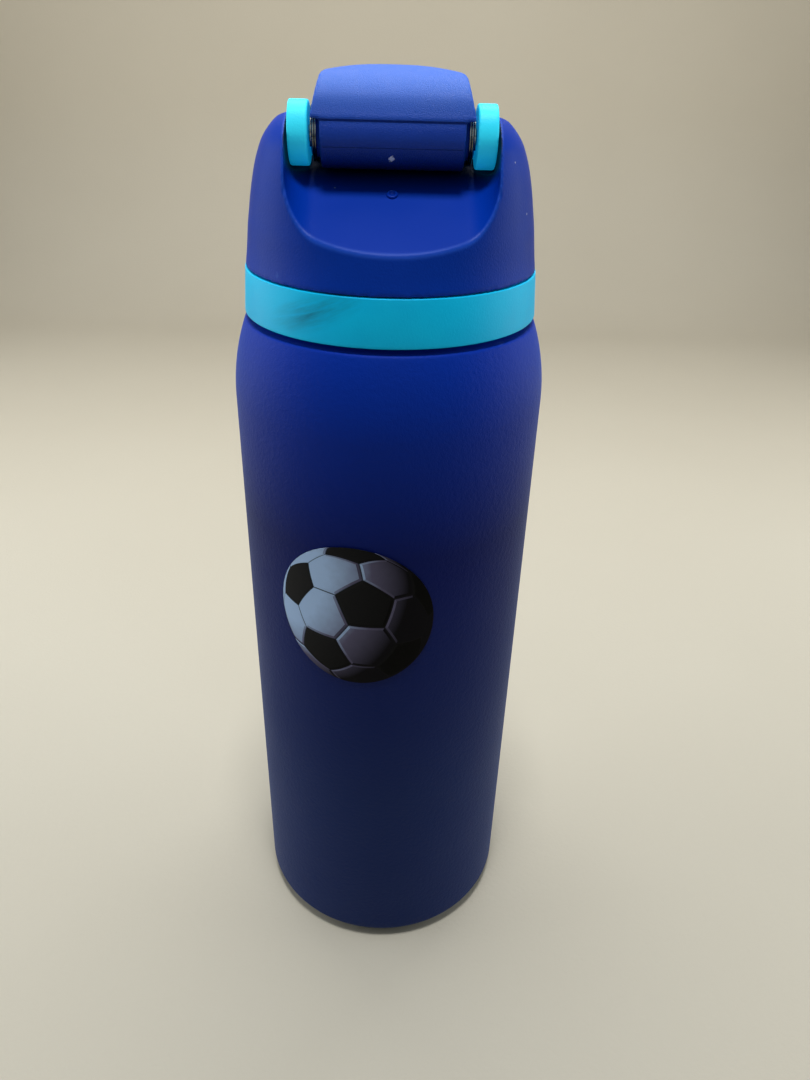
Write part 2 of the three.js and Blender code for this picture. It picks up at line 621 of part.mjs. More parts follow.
function lidShell() {
  const cheekTop = (LID_TOP - HINGE[1]) * Math.cos(LEAN);
  const overCheeks = lean(block(-60, 60, -30, 60, cheekTop, 60));
  const inside = lidForm(LID_WALL, LID_VOID_TOP)
    .subtract(solid(scoop(LID_FLOOR_WALL)))
    .subtract(solid(bay(LID_FLOOR_WALL)))
    .subtract(solid(hingePocket(LID_FLOOR_WALL)));
  const spoutWindow = slotBar(SPOUT_HALF[0] + RUN, SPOUT_HALF[1] + RUN, SPOUT_Y, BAND_TOP, LID_TOP);
  const buttonWindow = block(-BUTTON_HALF - BUTTON_GROW, BUTTON_HALF + BUTTON_GROW, SEAT_FRONT, BODY_RADIUS,
    BUTTON_LOW - BUTTON_GROW, WINDOW_TOP);
  const hookSlot = block(-HOOK_HALF - RUN, HOOK_HALF + RUN, HOOK_BACK - BUTTON_TRAVEL - RUN,
    HOOK_FRONT + RUN, WINDOW_TOP - 1, LID_TOP);
  const pinBore = barX(PIN_RADIUS + GAP, -PIN_HALF - GAP, PIN_HALF + GAP, ...HINGE);
  const dotZ = SCOOP_LIP[1] + (DOT_Y - SCOOP_LIP[0]) * Math.tan(SCOOP_SLOPE);
  const dot = turned([[0, -0.5], [DOT_RADIUS, -0.5], [DOT_RADIUS, 0], [DOT_RADIUS / 2, DOT_HEIGHT],
    [0, DOT_HEIGHT]], 12).rotateX(SCOOP_SLOPE).translate(0, DOT_Y, dotZ);
  return lidForm(0, LID_TOP)
    .subtract(solid(scoop()))
    .subtract(solid(bay()))
    .subtract(solid(hingePocket()))
    .subtract(solid(overCheeks))
    .subtract(inside)
    .subtract(solid(spoutWindow))
    .subtract(solid(buttonWindow))
    .subtract(solid(hookSlot))
    .subtract(solid(pinBore))
    .add(solid(dot));
}

// ---------------------------------------------------------------- flip cover
// The cover's back, crown and nose, as [ahead, up] points of a smooth line in the leaning frame.
const COVER_NOSE = AXIS_AHEAD + COVER_FRONT;
const COVER_LINE = [COVER_BACK, [-4.7, 6.4], [-1.2, 10.2], [4.2, 12.8], [COVER_NOSE - 26.3, 13.3],
  [COVER_NOSE - 14.3, 11.1], [COVER_NOSE - 5.3, 6.6]];

function coverSide(inset) {
  const nose = COVER_NOSE - inset;
  const line = [...COVER_LINE.map(([u, w]) => [u, w]), [COVER_NOSE, COVER_LIP_TOP]];
  const curve = new THREE.SplineCurve(line.map((p) => new THREE.Vector2(...p)));
  const points = curve.getPoints(18).map((p, i, all) => {
    if (!inset) return [p.x, p.y];
    const before = all[Math.max(i - 1, 0)];
    const after = all[Math.min(i + 1, all.length - 1)];
    const along = after.clone().sub(before).normalize();
    return [Math.min(p.x + along.y * inset, nose), p.y - along.x * inset];
  });
  const start = inset ? BARREL_RADIUS - 0.1 : BARREL_RADIUS + RUN; // the barrel closes the hollow behind
  const kept = inset ? points.filter(([u]) => u > start) : points;
  const foot = inset ? COVER_BOTTOM - 5 : COVER_BOTTOM;
  const back = [[start, foot], [start, inset ? kept[0][1] - 0.8 : COVER_BACK[1]]];
  return [...kept, [nose, foot], ...back];
}

function coverForm(inset) {
  const half = COVER_HALF - inset;
  const topHalf = COVER_TOP_HALF - inset;
  const high = 16;
  const side = extruded(coverSide(inset), 'x', -half, half);
  // Seen from the front: upright sides to the lip, leaning in to a rounded crown.
  const crown = COVER_CROWN - inset;
  const section = [
    [-half, COVER_BOTTOM - 6],
    [half, COVER_BOTTOM - 6],
    [half, COVER_BACK[1]],
    [topHalf + 1.1, crown - 4.2],
    ...arc(topHalf - 2.6, crown - 3.8, 3.4, 15, 78, 5),
    [topHalf * 0.35, crown - 0.05],
    [-topHalf * 0.35, crown - 0.05],
    ...arc(-topHalf + 2.6, crown - 3.8, 3.4, 102, 165, 5),
    [-topHalf - 1.1, crown - 4.2],
    [-half, COVER_BACK[1]],
  ];
  const front = extruded(section, 'y', -12, 60);
  const radius = COVER_FRONT - inset;
  const turnAt = THREE.MathUtils.radToDeg(Math.acos(half / radius));
  const plan = [
    [half, -12],
    ...arc(0, AXIS_AHEAD, radius, turnAt, 180 - turnAt, 16),
    [-half, -12],
  ];
  const above = extruded(plan, 'z', COVER_BOTTOM - 6, high);
  return solid(side).intersect(solid(front)).intersect(solid(above));
}

const LIP_IN = COVER_NOSE - COVER_WALL;
const CATCH_DEPTH = 0.7;
const CATCH_HALF = 4.5;

function flipCover() {
  const boss = barX(BOSS_RADIUS, -EAR_IN + RUN, EAR_IN - RUN);
  const barrel = barX(BARREL_RADIUS, -BARREL_HALF, BARREL_HALF, 0, 0, 32);
  const room = BARREL_RADIUS - 0.5; // cleared round the springs
  const catchRib = block(-CATCH_HALF, CATCH_HALF, LIP_IN - CATCH_DEPTH, LIP_IN + 0.5,
    COVER_BOTTOM, COVER_BOTTOM + 1.2);
  return coverForm(0)
    .subtract(coverForm(COVER_WALL))
    .subtract(solid(barX(room, -EAR_OUT, -BARREL_HALF)))
    .subtract(solid(barX(room, BARREL_HALF, EAR_OUT)))
    .add(solid(barrel))
    .add(solid(boss))
    .add(solid(catchRib))
    .subtract(solid(barX(PIN_RADIUS + GAP, -EAR_OUT, EAR_OUT)));
}

const PAD_LOW = SPOUT_RISE + GAP;
const PAD_AHEAD = (SPOUT_Y - HINGE[0]) / Math.cos(LEAN) - SPOUT_RISE * Math.tan(LEAN);

function coverLining() {
  const low = PAD_LOW + SEAL_PAD_THICKNESS + GAP;
  const front = COVER_NOSE - LINING_BEHIND_NOSE;
  return block(-LINING_HALF, LINING_HALF, LINING_FROM, front, low, low + LINING_THICKNESS);
}

// ---------------------------------------------------------------- carry loop
function carryLoop() {
  const outerTurn = LOOP_FRONT_OUT - LOOP_OUTER_CORNER;
  const innerTurn = LOOP_FRONT_IN - LOOP_INNER_CORNER;
  const outCorner = EAR_OUT - LOOP_OUTER_CORNER;
  const inCorner = EAR_IN - LOOP_INNER_CORNER;
  const outAngle = THREE.MathUtils.radToDeg(Math.acos(outCorner / outerTurn));
  const inAngle = THREE.MathUtils.radToDeg(Math.acos(inCorner / innerTurn));
  const outY = AXIS_AHEAD + Math.sqrt(outerTurn ** 2 - outCorner ** 2);
  const inY = AXIS_AHEAD + Math.sqrt(innerTurn ** 2 - inCorner ** 2);
  const outline = [
    [EAR_OUT, 0],
    ...arc(outCorner, outY, LOOP_OUTER_CORNER, 0, outAngle, 5),
    ...arc(0, AXIS_AHEAD, LOOP_FRONT_OUT, outAngle, 180 - outAngle, 14).slice(1, -1),
    ...arc(-outCorner, outY, LOOP_OUTER_CORNER, 180 - outAngle, 180, 5),
    [-EAR_OUT, 0],
    [-EAR_IN, 0],
    ...arc(-inCorner, inY, LOOP_INNER_CORNER, 180, 180 - inAngle, 4),
    ...arc(0, AXIS_AHEAD, LOOP_FRONT_IN, 180 - inAngle, inAngle, 14).slice(1, -1),
    ...arc(inCorner, inY, LOOP_INNER_CORNER, inAngle, 0, 4),
    [EAR_IN, 0],
  ];
  const strap = extruded(outline, 'z', -LOOP_HALF_THICKNESS, LOOP_HALF_THICKNESS);
  const ear = (from, to) => solid(barX(EAR_RADIUS, from, to, 0, 0, 32));
  return solid(strap)
    .add(ear(-EAR_OUT, -EAR_IN))
    .add(ear(EAR_IN, EAR_OUT))
    .subtract(solid(barX(PIN_RADIUS + GAP, -EAR_OUT - 1, EAR_OUT + 1)));
}

// ---------------------------------------------------------------- springs
// A wire along straight legs and a helix, as one line.
class CoilLine extends THREE.Curve {
  constructor(radius, pitch, turns, startLeg, endLeg, startAngle) {
    super();
    Object.assign(this, { radius, pitch, turns, startLeg, endLeg, startAngle });
    this.helixLength = turns * 2 * Math.PI * radius;
    this.length = startLeg + this.helixLength + endLeg;
  }

  // The coil runs along X; angle is measured in the YZ plane.
  onHelix(turn) {
    const a = this.startAngle + turn * 2 * Math.PI;
    return new THREE.Vector3(turn * this.pitch, this.radius * Math.cos(a), this.radius * Math.sin(a));
  }

  getPoint(t) {
    const s = t * this.length;
    const along = (a) => new THREE.Vector3(0, -Math.sin(a), Math.cos(a));
    if (s < this.startLeg) {
      return this.onHelix(0).addScaledVector(along(this.startAngle), s - this.startLeg);
    }
    const past = s - this.startLeg - this.helixLength;
    if (past > 0) {
      const end = this.startAngle + this.turns * 2 * Math.PI;
      return this.onHelix(this.turns).addScaledVector(along(end), past);
    }
    return this.onHelix((this.turns * (s - this.startLeg)) / this.helixLength);
  }
}

function wireAlong(line, wire, steps) {
  const section = new THREE.Shape(arc(0, 0, wire / 2, 0, 300, 5).map((p) => new THREE.Vector2(...p)));
  return new THREE.ExtrudeGeometry(section, { steps, extrudePath: line, bevelEnabled: false });
}

const HINGE_WIRE = 0.42;
const HINGE_COIL = 4.85;
const HINGE_TURNS = 2.75;
const HINGE_WIRE_PITCH = 0.45;
const BUTTON_WIRE = 0.5;
const BUTTON_TURNS = 4.5;

function hingeSprings() {
  for (const [name, side] of [['hinge_spring_left', -1], ['hinge_spring_right', 1]]) {
    const line = new CoilLine(HINGE_COIL, side * HINGE_WIRE_PITCH, HINGE_TURNS, 2, 2, -Math.PI / 2);
    const wire = wireAlong(line, HINGE_WIRE, 66);
    const start = side * (BARREL_HALF + GAP + HINGE_WIRE / 2);
    piece(name, solid(wire.translate(start, HINGE[0], HINGE[1])), SPRING_STEEL);
  }
}

// ---------------------------------------------------------------- spout, straw, vent
function spout() {
  const top = HINGE[1] + 10;
  const body = slotBar(...SPOUT_HALF, SPOUT_Y, DECK_TOP + GAP, top);
  const stub = slotBar(...STUB_HALF, SPOUT_Y, STUB_BOTTOM, DECK_TOP + 1);
  const nipple = barZ(NIPPLE_RADIUS, 0, SIP_Y, NIPPLE_BOTTOM, STUB_BOTTOM + 1);
  const swig = slotBar(...SWIG_HALF, SWIG_Y, STUB_BOTTOM - 1, top + 1);
  const sip = barZ(SIP_RADIUS, 0, SIP_Y, NIPPLE_BOTTOM - 1, top + 1);
  const above = lean(block(-30, 30, -20, 60, SPOUT_RISE, 60));
  return solid(body).add(solid(stub)).add(solid(nipple))
    .subtract(solid(above)).subtract(solid(swig)).subtract(solid(sip));
}

function spoutGasket() {
  const low = STUB_BOTTOM;
  const ring = slotBar(...GASKET_HALF, SPOUT_Y, low, CEILING - GAP);
  const hole = slotBar(STUB_HALF[0] + GAP, STUB_HALF[1] + GAP, SPOUT_Y, low - 1, CEILING + 1);
  return solid(ring).subtract(solid(hole));
}

function ventValve() {
  const stem = VENT_RADIUS - GAP;
  return turned([
    [0, CEILING - 1.6],
    [VENT_FLAP, CEILING - 0.6],
    [VENT_FLAP, CEILING - GAP],
    [stem, CEILING - GAP],
    [stem, DECK_TOP + GAP],
    [VENT_RADIUS + 0.5, DECK_TOP + GAP],
    [stem * 0.5, DECK_TOP + 1.8],
    [0, DECK_TOP + 1.8],
  ], 16).translate(...VENT, 0);
}

function straw() {
  const bore = NIPPLE_RADIUS + GAP;
  const tube = turned([[bore, STRAW_BOTTOM], [STRAW_RADIUS, STRAW_BOTTOM], [STRAW_RADIUS, STRAW_TOP],
    [bore, STRAW_TOP]], FINE_STEPS).translate(0, SIP_Y, 0);
  const mouthCut = new THREE.BoxGeometry(20, 20, 8).rotateX(THREE.MathUtils.degToRad(30))
    .translate(0, SIP_Y, STRAW_BOTTOM - 3.4);
  return solid(tube).subtract(solid(mouthCut));
}

// ---------------------------------------------------------------- push button
const HOOK_REACH = LIP_IN - CATCH_DEPTH - RUN - 0.4; // the hook's barb, from the hinge line
const HOOK_FRONT = HINGE[0] + Math.sqrt(HOOK_REACH ** 2 - (HINGE[1] - HOOK_TOP + 1) ** 2);
const HOOK_BACK = HOOK_FRONT - 2.8;

function pushButton() {
  const face = lidForm(-BUTTON_PROUD, LID_VOID_TOP).intersect(
    solid(block(-BUTTON_HALF, BUTTON_HALF, BUTTON_BACK, BODY_RADIUS, BUTTON_LOW, BUTTON_HIGH)),
  );
  const flange = block(-BUTTON_HALF - BUTTON_FLANGE, BUTTON_HALF + BUTTON_FLANGE, BUTTON_BACK - 0.2,
    BUTTON_BACK - 0.2 + BUTTON_FLANGE, BUTTON_LOW - 1, BUTTON_HIGH - 2);
  const bridge = block(-HOOK_HALF, HOOK_HALF, HOOK_BACK, BUTTON_BACK + 1, BUTTON_HIGH - 2.4, BUTTON_HIGH);
  const arm = block(-HOOK_HALF, HOOK_HALF, HOOK_BACK, HOOK_BACK + 1.6, BUTTON_HIGH - 1, HOOK_TOP);
  const barb = extruded([[HOOK_BACK, HOOK_TOP - 2], [HOOK_FRONT, HOOK_TOP - 1.6], [HOOK_FRONT, HOOK_TOP - 1],
    [HOOK_BACK + 1.6, HOOK_TOP], [HOOK_BACK, HOOK_TOP]], 'x', -HOOK_HALF, HOOK_HALF);
  return face.add(solid(flange)).add(solid(bridge)).add(solid(arm)).add(solid(barb));
}

function buttonSpring() {
  const from = SEAT_FRONT + GAP;
  const to = BUTTON_BACK - 0.2 - GAP;
  const pitch = (to - from - BUTTON_WIRE) / BUTTON_TURNS;
  const line = new CoilLine(BUTTON_COIL, pitch, BUTTON_TURNS, 0, 0, 0);
  return solid(wireAlong(line, BUTTON_WIRE, 62)
    .rotateZ(Math.PI / 2)
    .translate(0, from + BUTTON_WIRE / 2, (BUTTON_LOW + BUTTON_HIGH) / 2 - 0.6));
}

piece('lid_shell', lidShell(), BLUE_PLASTIC);
piece('hinge_pin', barX(PIN_RADIUS, -PIN_HALF, PIN_HALF, ...HINGE), STEEL);
hingeSprings();
piece('flip_cover', flipCover(), BLUE_PLASTIC, hingeFrame);
piece('cover_lining', coverLining(), CYAN_PLASTIC, hingeFrame);
piece('cover_seal', slotBar(...SEAL_PAD_HALF, PAD_AHEAD, PAD_LOW, PAD_LOW + SEAL_PAD_THICKNESS),
  CLEAR_SILICONE, hingeFrame);
piece('carry_loop', carryLoop(), CYAN_PLASTIC, hingeFrame);
piece('spout', spout(), BLUE_PLASTIC);
piece('spout_gasket', spoutGasket(), CLEAR_SILICONE);
piece('vent_valve', ventValve(), CLEAR_SILICONE);
piece('straw', straw(), STRAW_PLASTIC);
piece('push_button', pushButton(), CYAN_PLASTIC);
piece('button_spring', buttonSpring(), SPRING_STEEL);

export default root;
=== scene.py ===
# %% [markdown]
# # A kids' insulated bottle, dressed for the camera
# The frame already holds every part of the bottle at its true size, but only with flat facets. This lesson
# keeps each part's place and replaces what can be seen with finer meshes and real finishes. The first cell
# loads the frame and keeps its parts, whose boxes the later cells read.

# %% Load the frame
import json
import math

import bmesh
import bpy
from mathutils import Matrix, Vector


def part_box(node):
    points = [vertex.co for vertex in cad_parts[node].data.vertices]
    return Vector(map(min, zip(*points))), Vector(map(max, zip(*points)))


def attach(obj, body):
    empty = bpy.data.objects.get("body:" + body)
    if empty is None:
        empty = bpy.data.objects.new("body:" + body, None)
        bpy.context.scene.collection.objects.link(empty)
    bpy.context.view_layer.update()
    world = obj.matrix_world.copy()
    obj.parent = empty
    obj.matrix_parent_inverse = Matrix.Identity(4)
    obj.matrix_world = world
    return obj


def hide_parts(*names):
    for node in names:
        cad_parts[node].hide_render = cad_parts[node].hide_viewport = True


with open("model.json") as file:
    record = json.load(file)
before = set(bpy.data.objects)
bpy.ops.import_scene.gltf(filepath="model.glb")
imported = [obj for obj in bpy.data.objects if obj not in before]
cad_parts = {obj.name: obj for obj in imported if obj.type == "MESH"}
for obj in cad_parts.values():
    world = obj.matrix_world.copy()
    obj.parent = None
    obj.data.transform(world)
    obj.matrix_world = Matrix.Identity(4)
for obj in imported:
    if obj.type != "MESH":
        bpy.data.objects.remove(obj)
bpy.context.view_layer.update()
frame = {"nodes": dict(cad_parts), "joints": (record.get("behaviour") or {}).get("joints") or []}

scene = bpy.context.scene

# %% [markdown]
# ## Camera
# The viewer stands close to the hinge side and looks down on the lid, so the body narrows strongly towards
# its base. A camera is three axes and a place. Here the three axes are worked out from the tilt, the turn
# and the roll, which is clearer than a target object when the camera also leans a little to one side.

# %% Camera
CAMERA_PLACE = Vector((0, -0.18975, 0.23063))
CAMERA_TILT = math.radians(30.457)  # down from the horizon
CAMERA_TURN = math.radians(1.469)  # to the right of straight ahead
CAMERA_ROLL = math.radians(-1.588)
CAMERA_LENS = 27.19  # mm, on a 36 mm sensor


def make_camera():
    ahead = Vector((math.sin(CAMERA_TURN) * math.cos(CAMERA_TILT),
                    math.cos(CAMERA_TURN) * math.cos(CAMERA_TILT), -math.sin(CAMERA_TILT)))
    level = Vector((math.cos(CAMERA_TURN), -math.sin(CAMERA_TURN), 0))
    under = ahead.cross(level)
    right = math.cos(CAMERA_ROLL) * level + math.sin(CAMERA_ROLL) * under
    down = math.cos(CAMERA_ROLL) * under - math.sin(CAMERA_ROLL) * level
    camera = bpy.data.objects.new("camera", bpy.data.cameras.new("camera"))
    axes = Matrix((right, -down, -ahead)).transposed().to_4x4()
    camera.matrix_world = Matrix.Translation(CAMERA_PLACE) @ axes
    camera.data.lens = CAMERA_LENS
    camera.data.sensor_width = 36
    camera.data.clip_start = 0.01
    scene.collection.objects.link(camera)
    scene.camera = camera
    return camera


print("camera lens:", make_camera().data.lens, "mm")

# %% [markdown]
# ## Floor, backdrop and light
# A sheet of pale card that sweeps up far behind the bottle gives a plain ground with no hard horizon. Its
# outline is one bend, pushed sideways, with a smooth shade. The light is a small white tent. A key panel
# hangs almost straight above, a long one behind it lights the lid, one stands on each side, and a weak fill
# comes from the viewer. So the matte coat glows along its edges and stays deep in front. One more panel
# lights only the card.

# %% Floor and light
SWEEP_WIDTH = 4.0
SWEEP_FRONT = -2.0
SWEEP_BACK = 0.60
SWEEP_RADIUS = 0.20
SWEEP_TOP = 1.6


def make_sweep():
    bm = bmesh.new()
    bend = [math.radians(90 * i / 16) for i in range(17)]
    line = [(SWEEP_FRONT, 0)]
    line += [(SWEEP_BACK + SWEEP_RADIUS * math.sin(a), SWEEP_RADIUS * (1 - math.cos(a))) for a in bend]
    line.append((SWEEP_BACK + SWEEP_RADIUS + 0.08, SWEEP_TOP))
    verts = [bm.verts.new((-SWEEP_WIDTH / 2, y, z)) for y, z in line]
    edges = [bm.edges.new(pair) for pair in zip(verts, verts[1:])]
    pulled = bmesh.ops.extrude_edge_only(bm, edges=edges)["geom"]
    moved = [v for v in pulled if isinstance(v, bmesh.types.BMVert)]
    bmesh.ops.translate(bm, verts=moved, vec=(SWEEP_WIDTH, 0, 0))
    bmesh.ops.recalc_face_normals(bm, faces=bm.faces)
    mesh = bpy.data.meshes.new("sweep")
    bm.to_mesh(mesh)
    bm.free()
    for face in mesh.polygons:
        face.use_smooth = True
    sweep = bpy.data.objects.new("sweep", mesh)
    scene.collection.objects.link(sweep)
    return sweep


def make_panel(name, place, aim, size, power, tint):
    light = bpy.data.lights.new(name, "AREA")
    light.shape = "RECTANGLE"
    light.size, light.size_y = size
    light.energy = power
    light.color = tint
    panel = bpy.data.objects.new(name, light)
    panel.location = place
    panel.rotation_euler = (Vector(aim) - Vector(place)).to_track_quat("-Z", "Y").to_euler()
    scene.collection.objects.link(panel)


KEY_WHITE = (0.95, 0.985, 1.0)
TOP_WHITE = (0.93, 0.98, 1.0)
SIDE_WHITE = (0.90, 0.96, 1.0)
FILL_WHITE = (0.86, 0.96, 1.0)
CARD_WHITE = (1.0, 0.97, 0.88)
sweep = make_sweep()
make_panel("light_key", (0.0, -0.14, 0.85), (0, 0, 0.15), (0.14, 0.14), 3.4, KEY_WHITE)
make_panel("light_above", (0.0, 0.19, 0.52), (0, -0.02, 0.18), (0.5, 0.09), 1.5, TOP_WHITE)
make_panel("light_left", (-0.55, 0.10, 0.22), (0, 0, 0.07), (0.5, 0.5), 1.9, SIDE_WHITE)
make_panel("light_right", (0.55, 0.10, 0.20), (0, 0, 0.06), (0.5, 0.44), 1.4, SIDE_WHITE)
make_panel("light_fill", (0.05, -0.75, 0.45), (0, 0, 0.10), (0.7, 0.5), 0.45, FILL_WHITE)
make_panel("light_card", (0.0, 0.25, 0.50), (0, 0.75, 0.25), (1.4, 0.1), 2.4, CARD_WHITE)

world = bpy.data.worlds.new("studio")
scene.world = world
world.use_nodes = True
background = world.node_tree.nodes["Background"]
background.inputs["Color"].default_value = (0.72, 0.80, 0.84, 1)
background.inputs["Strength"].default_value = 0.12
scene.view_settings.view_transform = "Standard"

# %% [markdown]
# ## Working in millimetres
# The frame is in metres, where a half-millimetre edge is a very small number. Each piece is drawn in
# millimetres and shrunk once, when it is placed. The sizes below come from the frame's own boxes and its
# hinge joint, so a change in the frame carries through to these pieces.

# %% Sizes from the frame
MM = 0.001


def box_mm(node):
    low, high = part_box(node)
    return low / MM, high / MM


def joint(name):
    return next(j for j in frame["joints"] if j["name"] == name)


GAP = 0.3  # between parts that only clear each other
RUN = 0.4  # between parts that move past each other
shell_low, shell_high = box_mm("outer_shell")
liner_low, liner_high = box_mm("inner_liner")

BODY_RADIUS = shell_high.x
MOUTH_TOP = liner_high.z
BAND_RADIUS = box_mm("lid_collar")[1].x
BAND_TOP = box_mm("lid_shell")[0].z - GAP
HINGE_Y = joint("cover_hinge")["pos_m"][1] / MM
HINGE_Z = joint("cover_hinge")["pos_m"][2] / MM
LEAN = math.radians(10)  # the cover and the loop slope down to the front by this much
leaning = Matrix.Translation((0, HINGE_Y, HINGE_Z)) @ Matrix.Rotation(-LEAN, 4, "X")
print("body radius", round(BODY_RADIUS, 2), "band top", round(BAND_TOP, 2), "hinge", round(HINGE_Z, 2))

# %% [markdown]
# ## Two ways to draw a solid
# Most bottle parts are either turned, like a pot on a wheel, or pushed out of a flat outline, like pasta.
# Spin and extrude do exactly that. A third helper rounds the corners of an outline by arcs, because a
# moulded or pressed part never has a knife edge, and rounding the outline is cleaner than bevelling the
# finished mesh.

# %% Outline helpers
TURN_STEPS = 144


def arc(cx, cy, radius, start, end, steps=8):
    """Points of an arc, from one angle to another in degrees."""
    angles = [math.radians(start + (end - start) * i / steps) for i in range(steps + 1)]
    return [(cx + radius * math.cos(a), cy + radius * math.sin(a)) for a in angles]


def rounded(corners, steps=5, closed=True):
    """An outline whose corners, given as (x, y, radius), are turned by arcs."""
    points = []
    count = len(corners)
    for i, (x, y, radius) in enumerate(corners):
        here = Vector((x, y))
        ends = (not closed) and i in (0, count - 1)
        if radius <= 0 or ends:
            points.append((x, y))
            continue
        before = (Vector(corners[i - 1][:2]) - here)
        after = (Vector(corners[(i + 1) % count][:2]) - here)
        half = before.angle(after) / 2
        reach = min(radius / math.tan(half), before.length * 0.49, after.length * 0.49)
        radius = reach * math.tan(half)
        middle = here + (before.normalized() + after.normalized()).normalized() * radius / math.sin(half)
        first = here + before.normalized() * reach - middle
        last = here + after.normalized() * reach - middle
        sweep_angle = first.angle_signed(last)
        for k in range(steps + 1):
            turn = Matrix.Rotation(-sweep_angle * k / steps, 2)
            points.append(tuple(middle + turn @ first))
    return points


def flowing(points, per=5):
    """A smooth line through the given points, as a chain of cubic pieces."""
    line = []
    for i in range(len(points) - 1):
        p1, p2 = Vector(points[i]), Vector(points[i + 1])
        p0 = Vector(points[i - 1]) if i else p1 * 2 - p2
        p3 = Vector(points[i + 2]) if i + 2 < len(points) else p2 * 2 - p1
        for k in range(per):
            t = k / per
            line.append(tuple(0.5 * ((2 * p1) + (p2 - p0) * t + (2 * p0 - 5 * p1 + 4 * p2 - p3) * t ** 2
                                     + (3 * p1 - p0 - 3 * p2 + p3) * t ** 3)))
    line.append(tuple(points[-1]))
    return line


def turned(outline, steps=TURN_STEPS):
    """A bmesh spun round the Z axis from an outline of (radius, height), closed on itself or on the axis."""
    bm = bmesh.new()
    verts = [bm.verts.new((r, 0, z)) for r, z in outline]
    edges = [bm.edges.new(pair) for pair in zip(verts, verts[1:])]
    if outline[0][0] > 0 or outline[-1][0] > 0:
        edges.append(bm.edges.new((verts[-1], verts[0])))
    bmesh.ops.spin(bm, geom=verts + edges, cent=(0, 0, 0), axis=(0, 0, 1), angle=math.tau, steps=steps,
                   use_merge=True)
    bmesh.ops.remove_doubles(bm, verts=bm.verts, dist=1e-4)
    bmesh.ops.recalc_face_normals(bm, faces=bm.faces)
    return bm


def pushed(outline, axis, low, high):
    """A bmesh pushed along an axis from an outline: (y, z) along x, (x, z) along y, (x, y) along z."""
    at = "xyz".index(axis)
    bm = bmesh.new()
    face = bm.faces.new([bm.verts.new((*point[:at], low, *point[at:])) for point in outline])
    pulled = bmesh.ops.extrude_face_region(bm, geom=[face])["geom"]
    moved = [v for v in pulled if isinstance(v, bmesh.types.BMVert)]
    bmesh.ops.translate(bm, verts=moved, vec=Vector([(high - low) * (axis == a) for a in "xyz"]))
    bmesh.ops.recalc_face_normals(bm, faces=bm.faces)
    return bm


def block(x0, x1, y0, y1, z0, z1):
    bm = bmesh.new()
    bmesh.ops.create_cube(bm, size=1)
    bmesh.ops.scale(bm, verts=bm.verts, vec=(x1 - x0, y1 - y0, z1 - z0))
    bmesh.ops.translate(bm, verts=bm.verts, vec=((x0 + x1) / 2, (y0 + y1) / 2, (z0 + z1) / 2))
    return bm


def bar(radius, axis, low, high, at, segments=64, soft=0.0):
    """A round bar along x or z through the point at, with its end rims softened."""
    outline = [(0, 0, 0), (radius, 0, soft), (radius, high - low, soft), (0, high - low, 0)]
    bm = turned(rounded(outline), steps=segments)
    if axis == "x":
        bmesh.ops.rotate(bm, verts=bm.verts, cent=(0, 0, 0), matrix=Matrix.Rotation(math.pi / 2, 3, "Y"))
        bmesh.ops.translate(bm, verts=bm.verts, vec=(low, at[0], at[1]))
    else:
        bmesh.ops.translate(bm, verts=bm.verts, vec=(at[0], at[1], low))
    return bm


def moved_by(bm, matrix):
    bmesh.ops.transform(bm, matrix=matrix, verts=bm.verts)
    return bm


print("a turned test ring has", len(turned([(1, 0), (2, 0), (2, 1)]).faces), "faces")

# %% [markdown]
# ## Joining, cutting and moulding
# Plastic mouldings are one skin with soft edges, however many shapes go into them. The shapes are joined and
# cut by Boolean modifiers first. Then a voxel remesh lays an even skin over the result, and a few rounds of
# smoothing soften every edge by about the same small radius, as a steel mould does. Bevelling the raw
# Boolean instead would fail where three cuts meet at a shallow angle.

# %% Object helpers
def scratch(bm, name="scratch"):
    """A bmesh as an object in millimetres, still to be worked on."""
    mesh = bpy.data.meshes.new(name)
    bm.to_mesh(mesh)
    bm.free()
    obj = bpy.data.objects.new(name, mesh)
    scene.collection.objects.link(obj)
    return obj


def baked(obj):
    """Applies the modifiers of an object."""
    bpy.context.view_layer.update()
    mesh = bpy.data.meshes.new_from_object(obj.evaluated_get(bpy.context.evaluated_depsgraph_get()))
    obj.modifiers.clear()
    obj.data = mesh
    return obj


def combined(obj, bm, operation):
    tool = scratch(bm)
    modifier = obj.modifiers.new("combine", "BOOLEAN")
    modifier.operation = operation
    modifier.solver = "MANIFOLD"
    modifier.object = tool
    baked(obj)
    bpy.data.objects.remove(tool)
    return obj


def cut(obj, *tools):
    for bm in tools:
        combined(obj, bm, "DIFFERENCE")
    return obj


def joined(obj, *tools):
    for bm in tools:
        combined(obj, bm, "UNION")
    return obj


def moulded(obj, voxel, rounds):
    """An even skin over the shape with softened edges."""
    remesh = obj.modifiers.new("skin", "REMESH")
    remesh.mode = "VOXEL"
    remesh.voxel_size = voxel * 1
    smooth = obj.modifiers.new("soften", "SMOOTH")
    smooth.factor = 0.5
    smooth.iterations = rounds
    return baked(obj)


def placed(obj, name, body, node, material):
    """Shrinks a piece to metres, gives it its finish and lets it ride on its body."""
    obj.name = name
    obj.data.name = name
    obj.data.transform(Matrix.Scale(MM, 4))
    for face in obj.data.polygons:
        face.use_smooth = True
    obj.data.materials.clear()
    obj.data.materials.append(material)
    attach(obj, body)
    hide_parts(node)
    print(name, "has", len(obj.data.polygons), "faces")
    return obj


def sharpened(obj, degrees=40):
    """Keeps edges steeper than this crisp, where the rest is shaded smooth."""
    obj.data.set_sharp_from_angle(angle=math.radians(degrees))
    return obj


print("helpers ready")

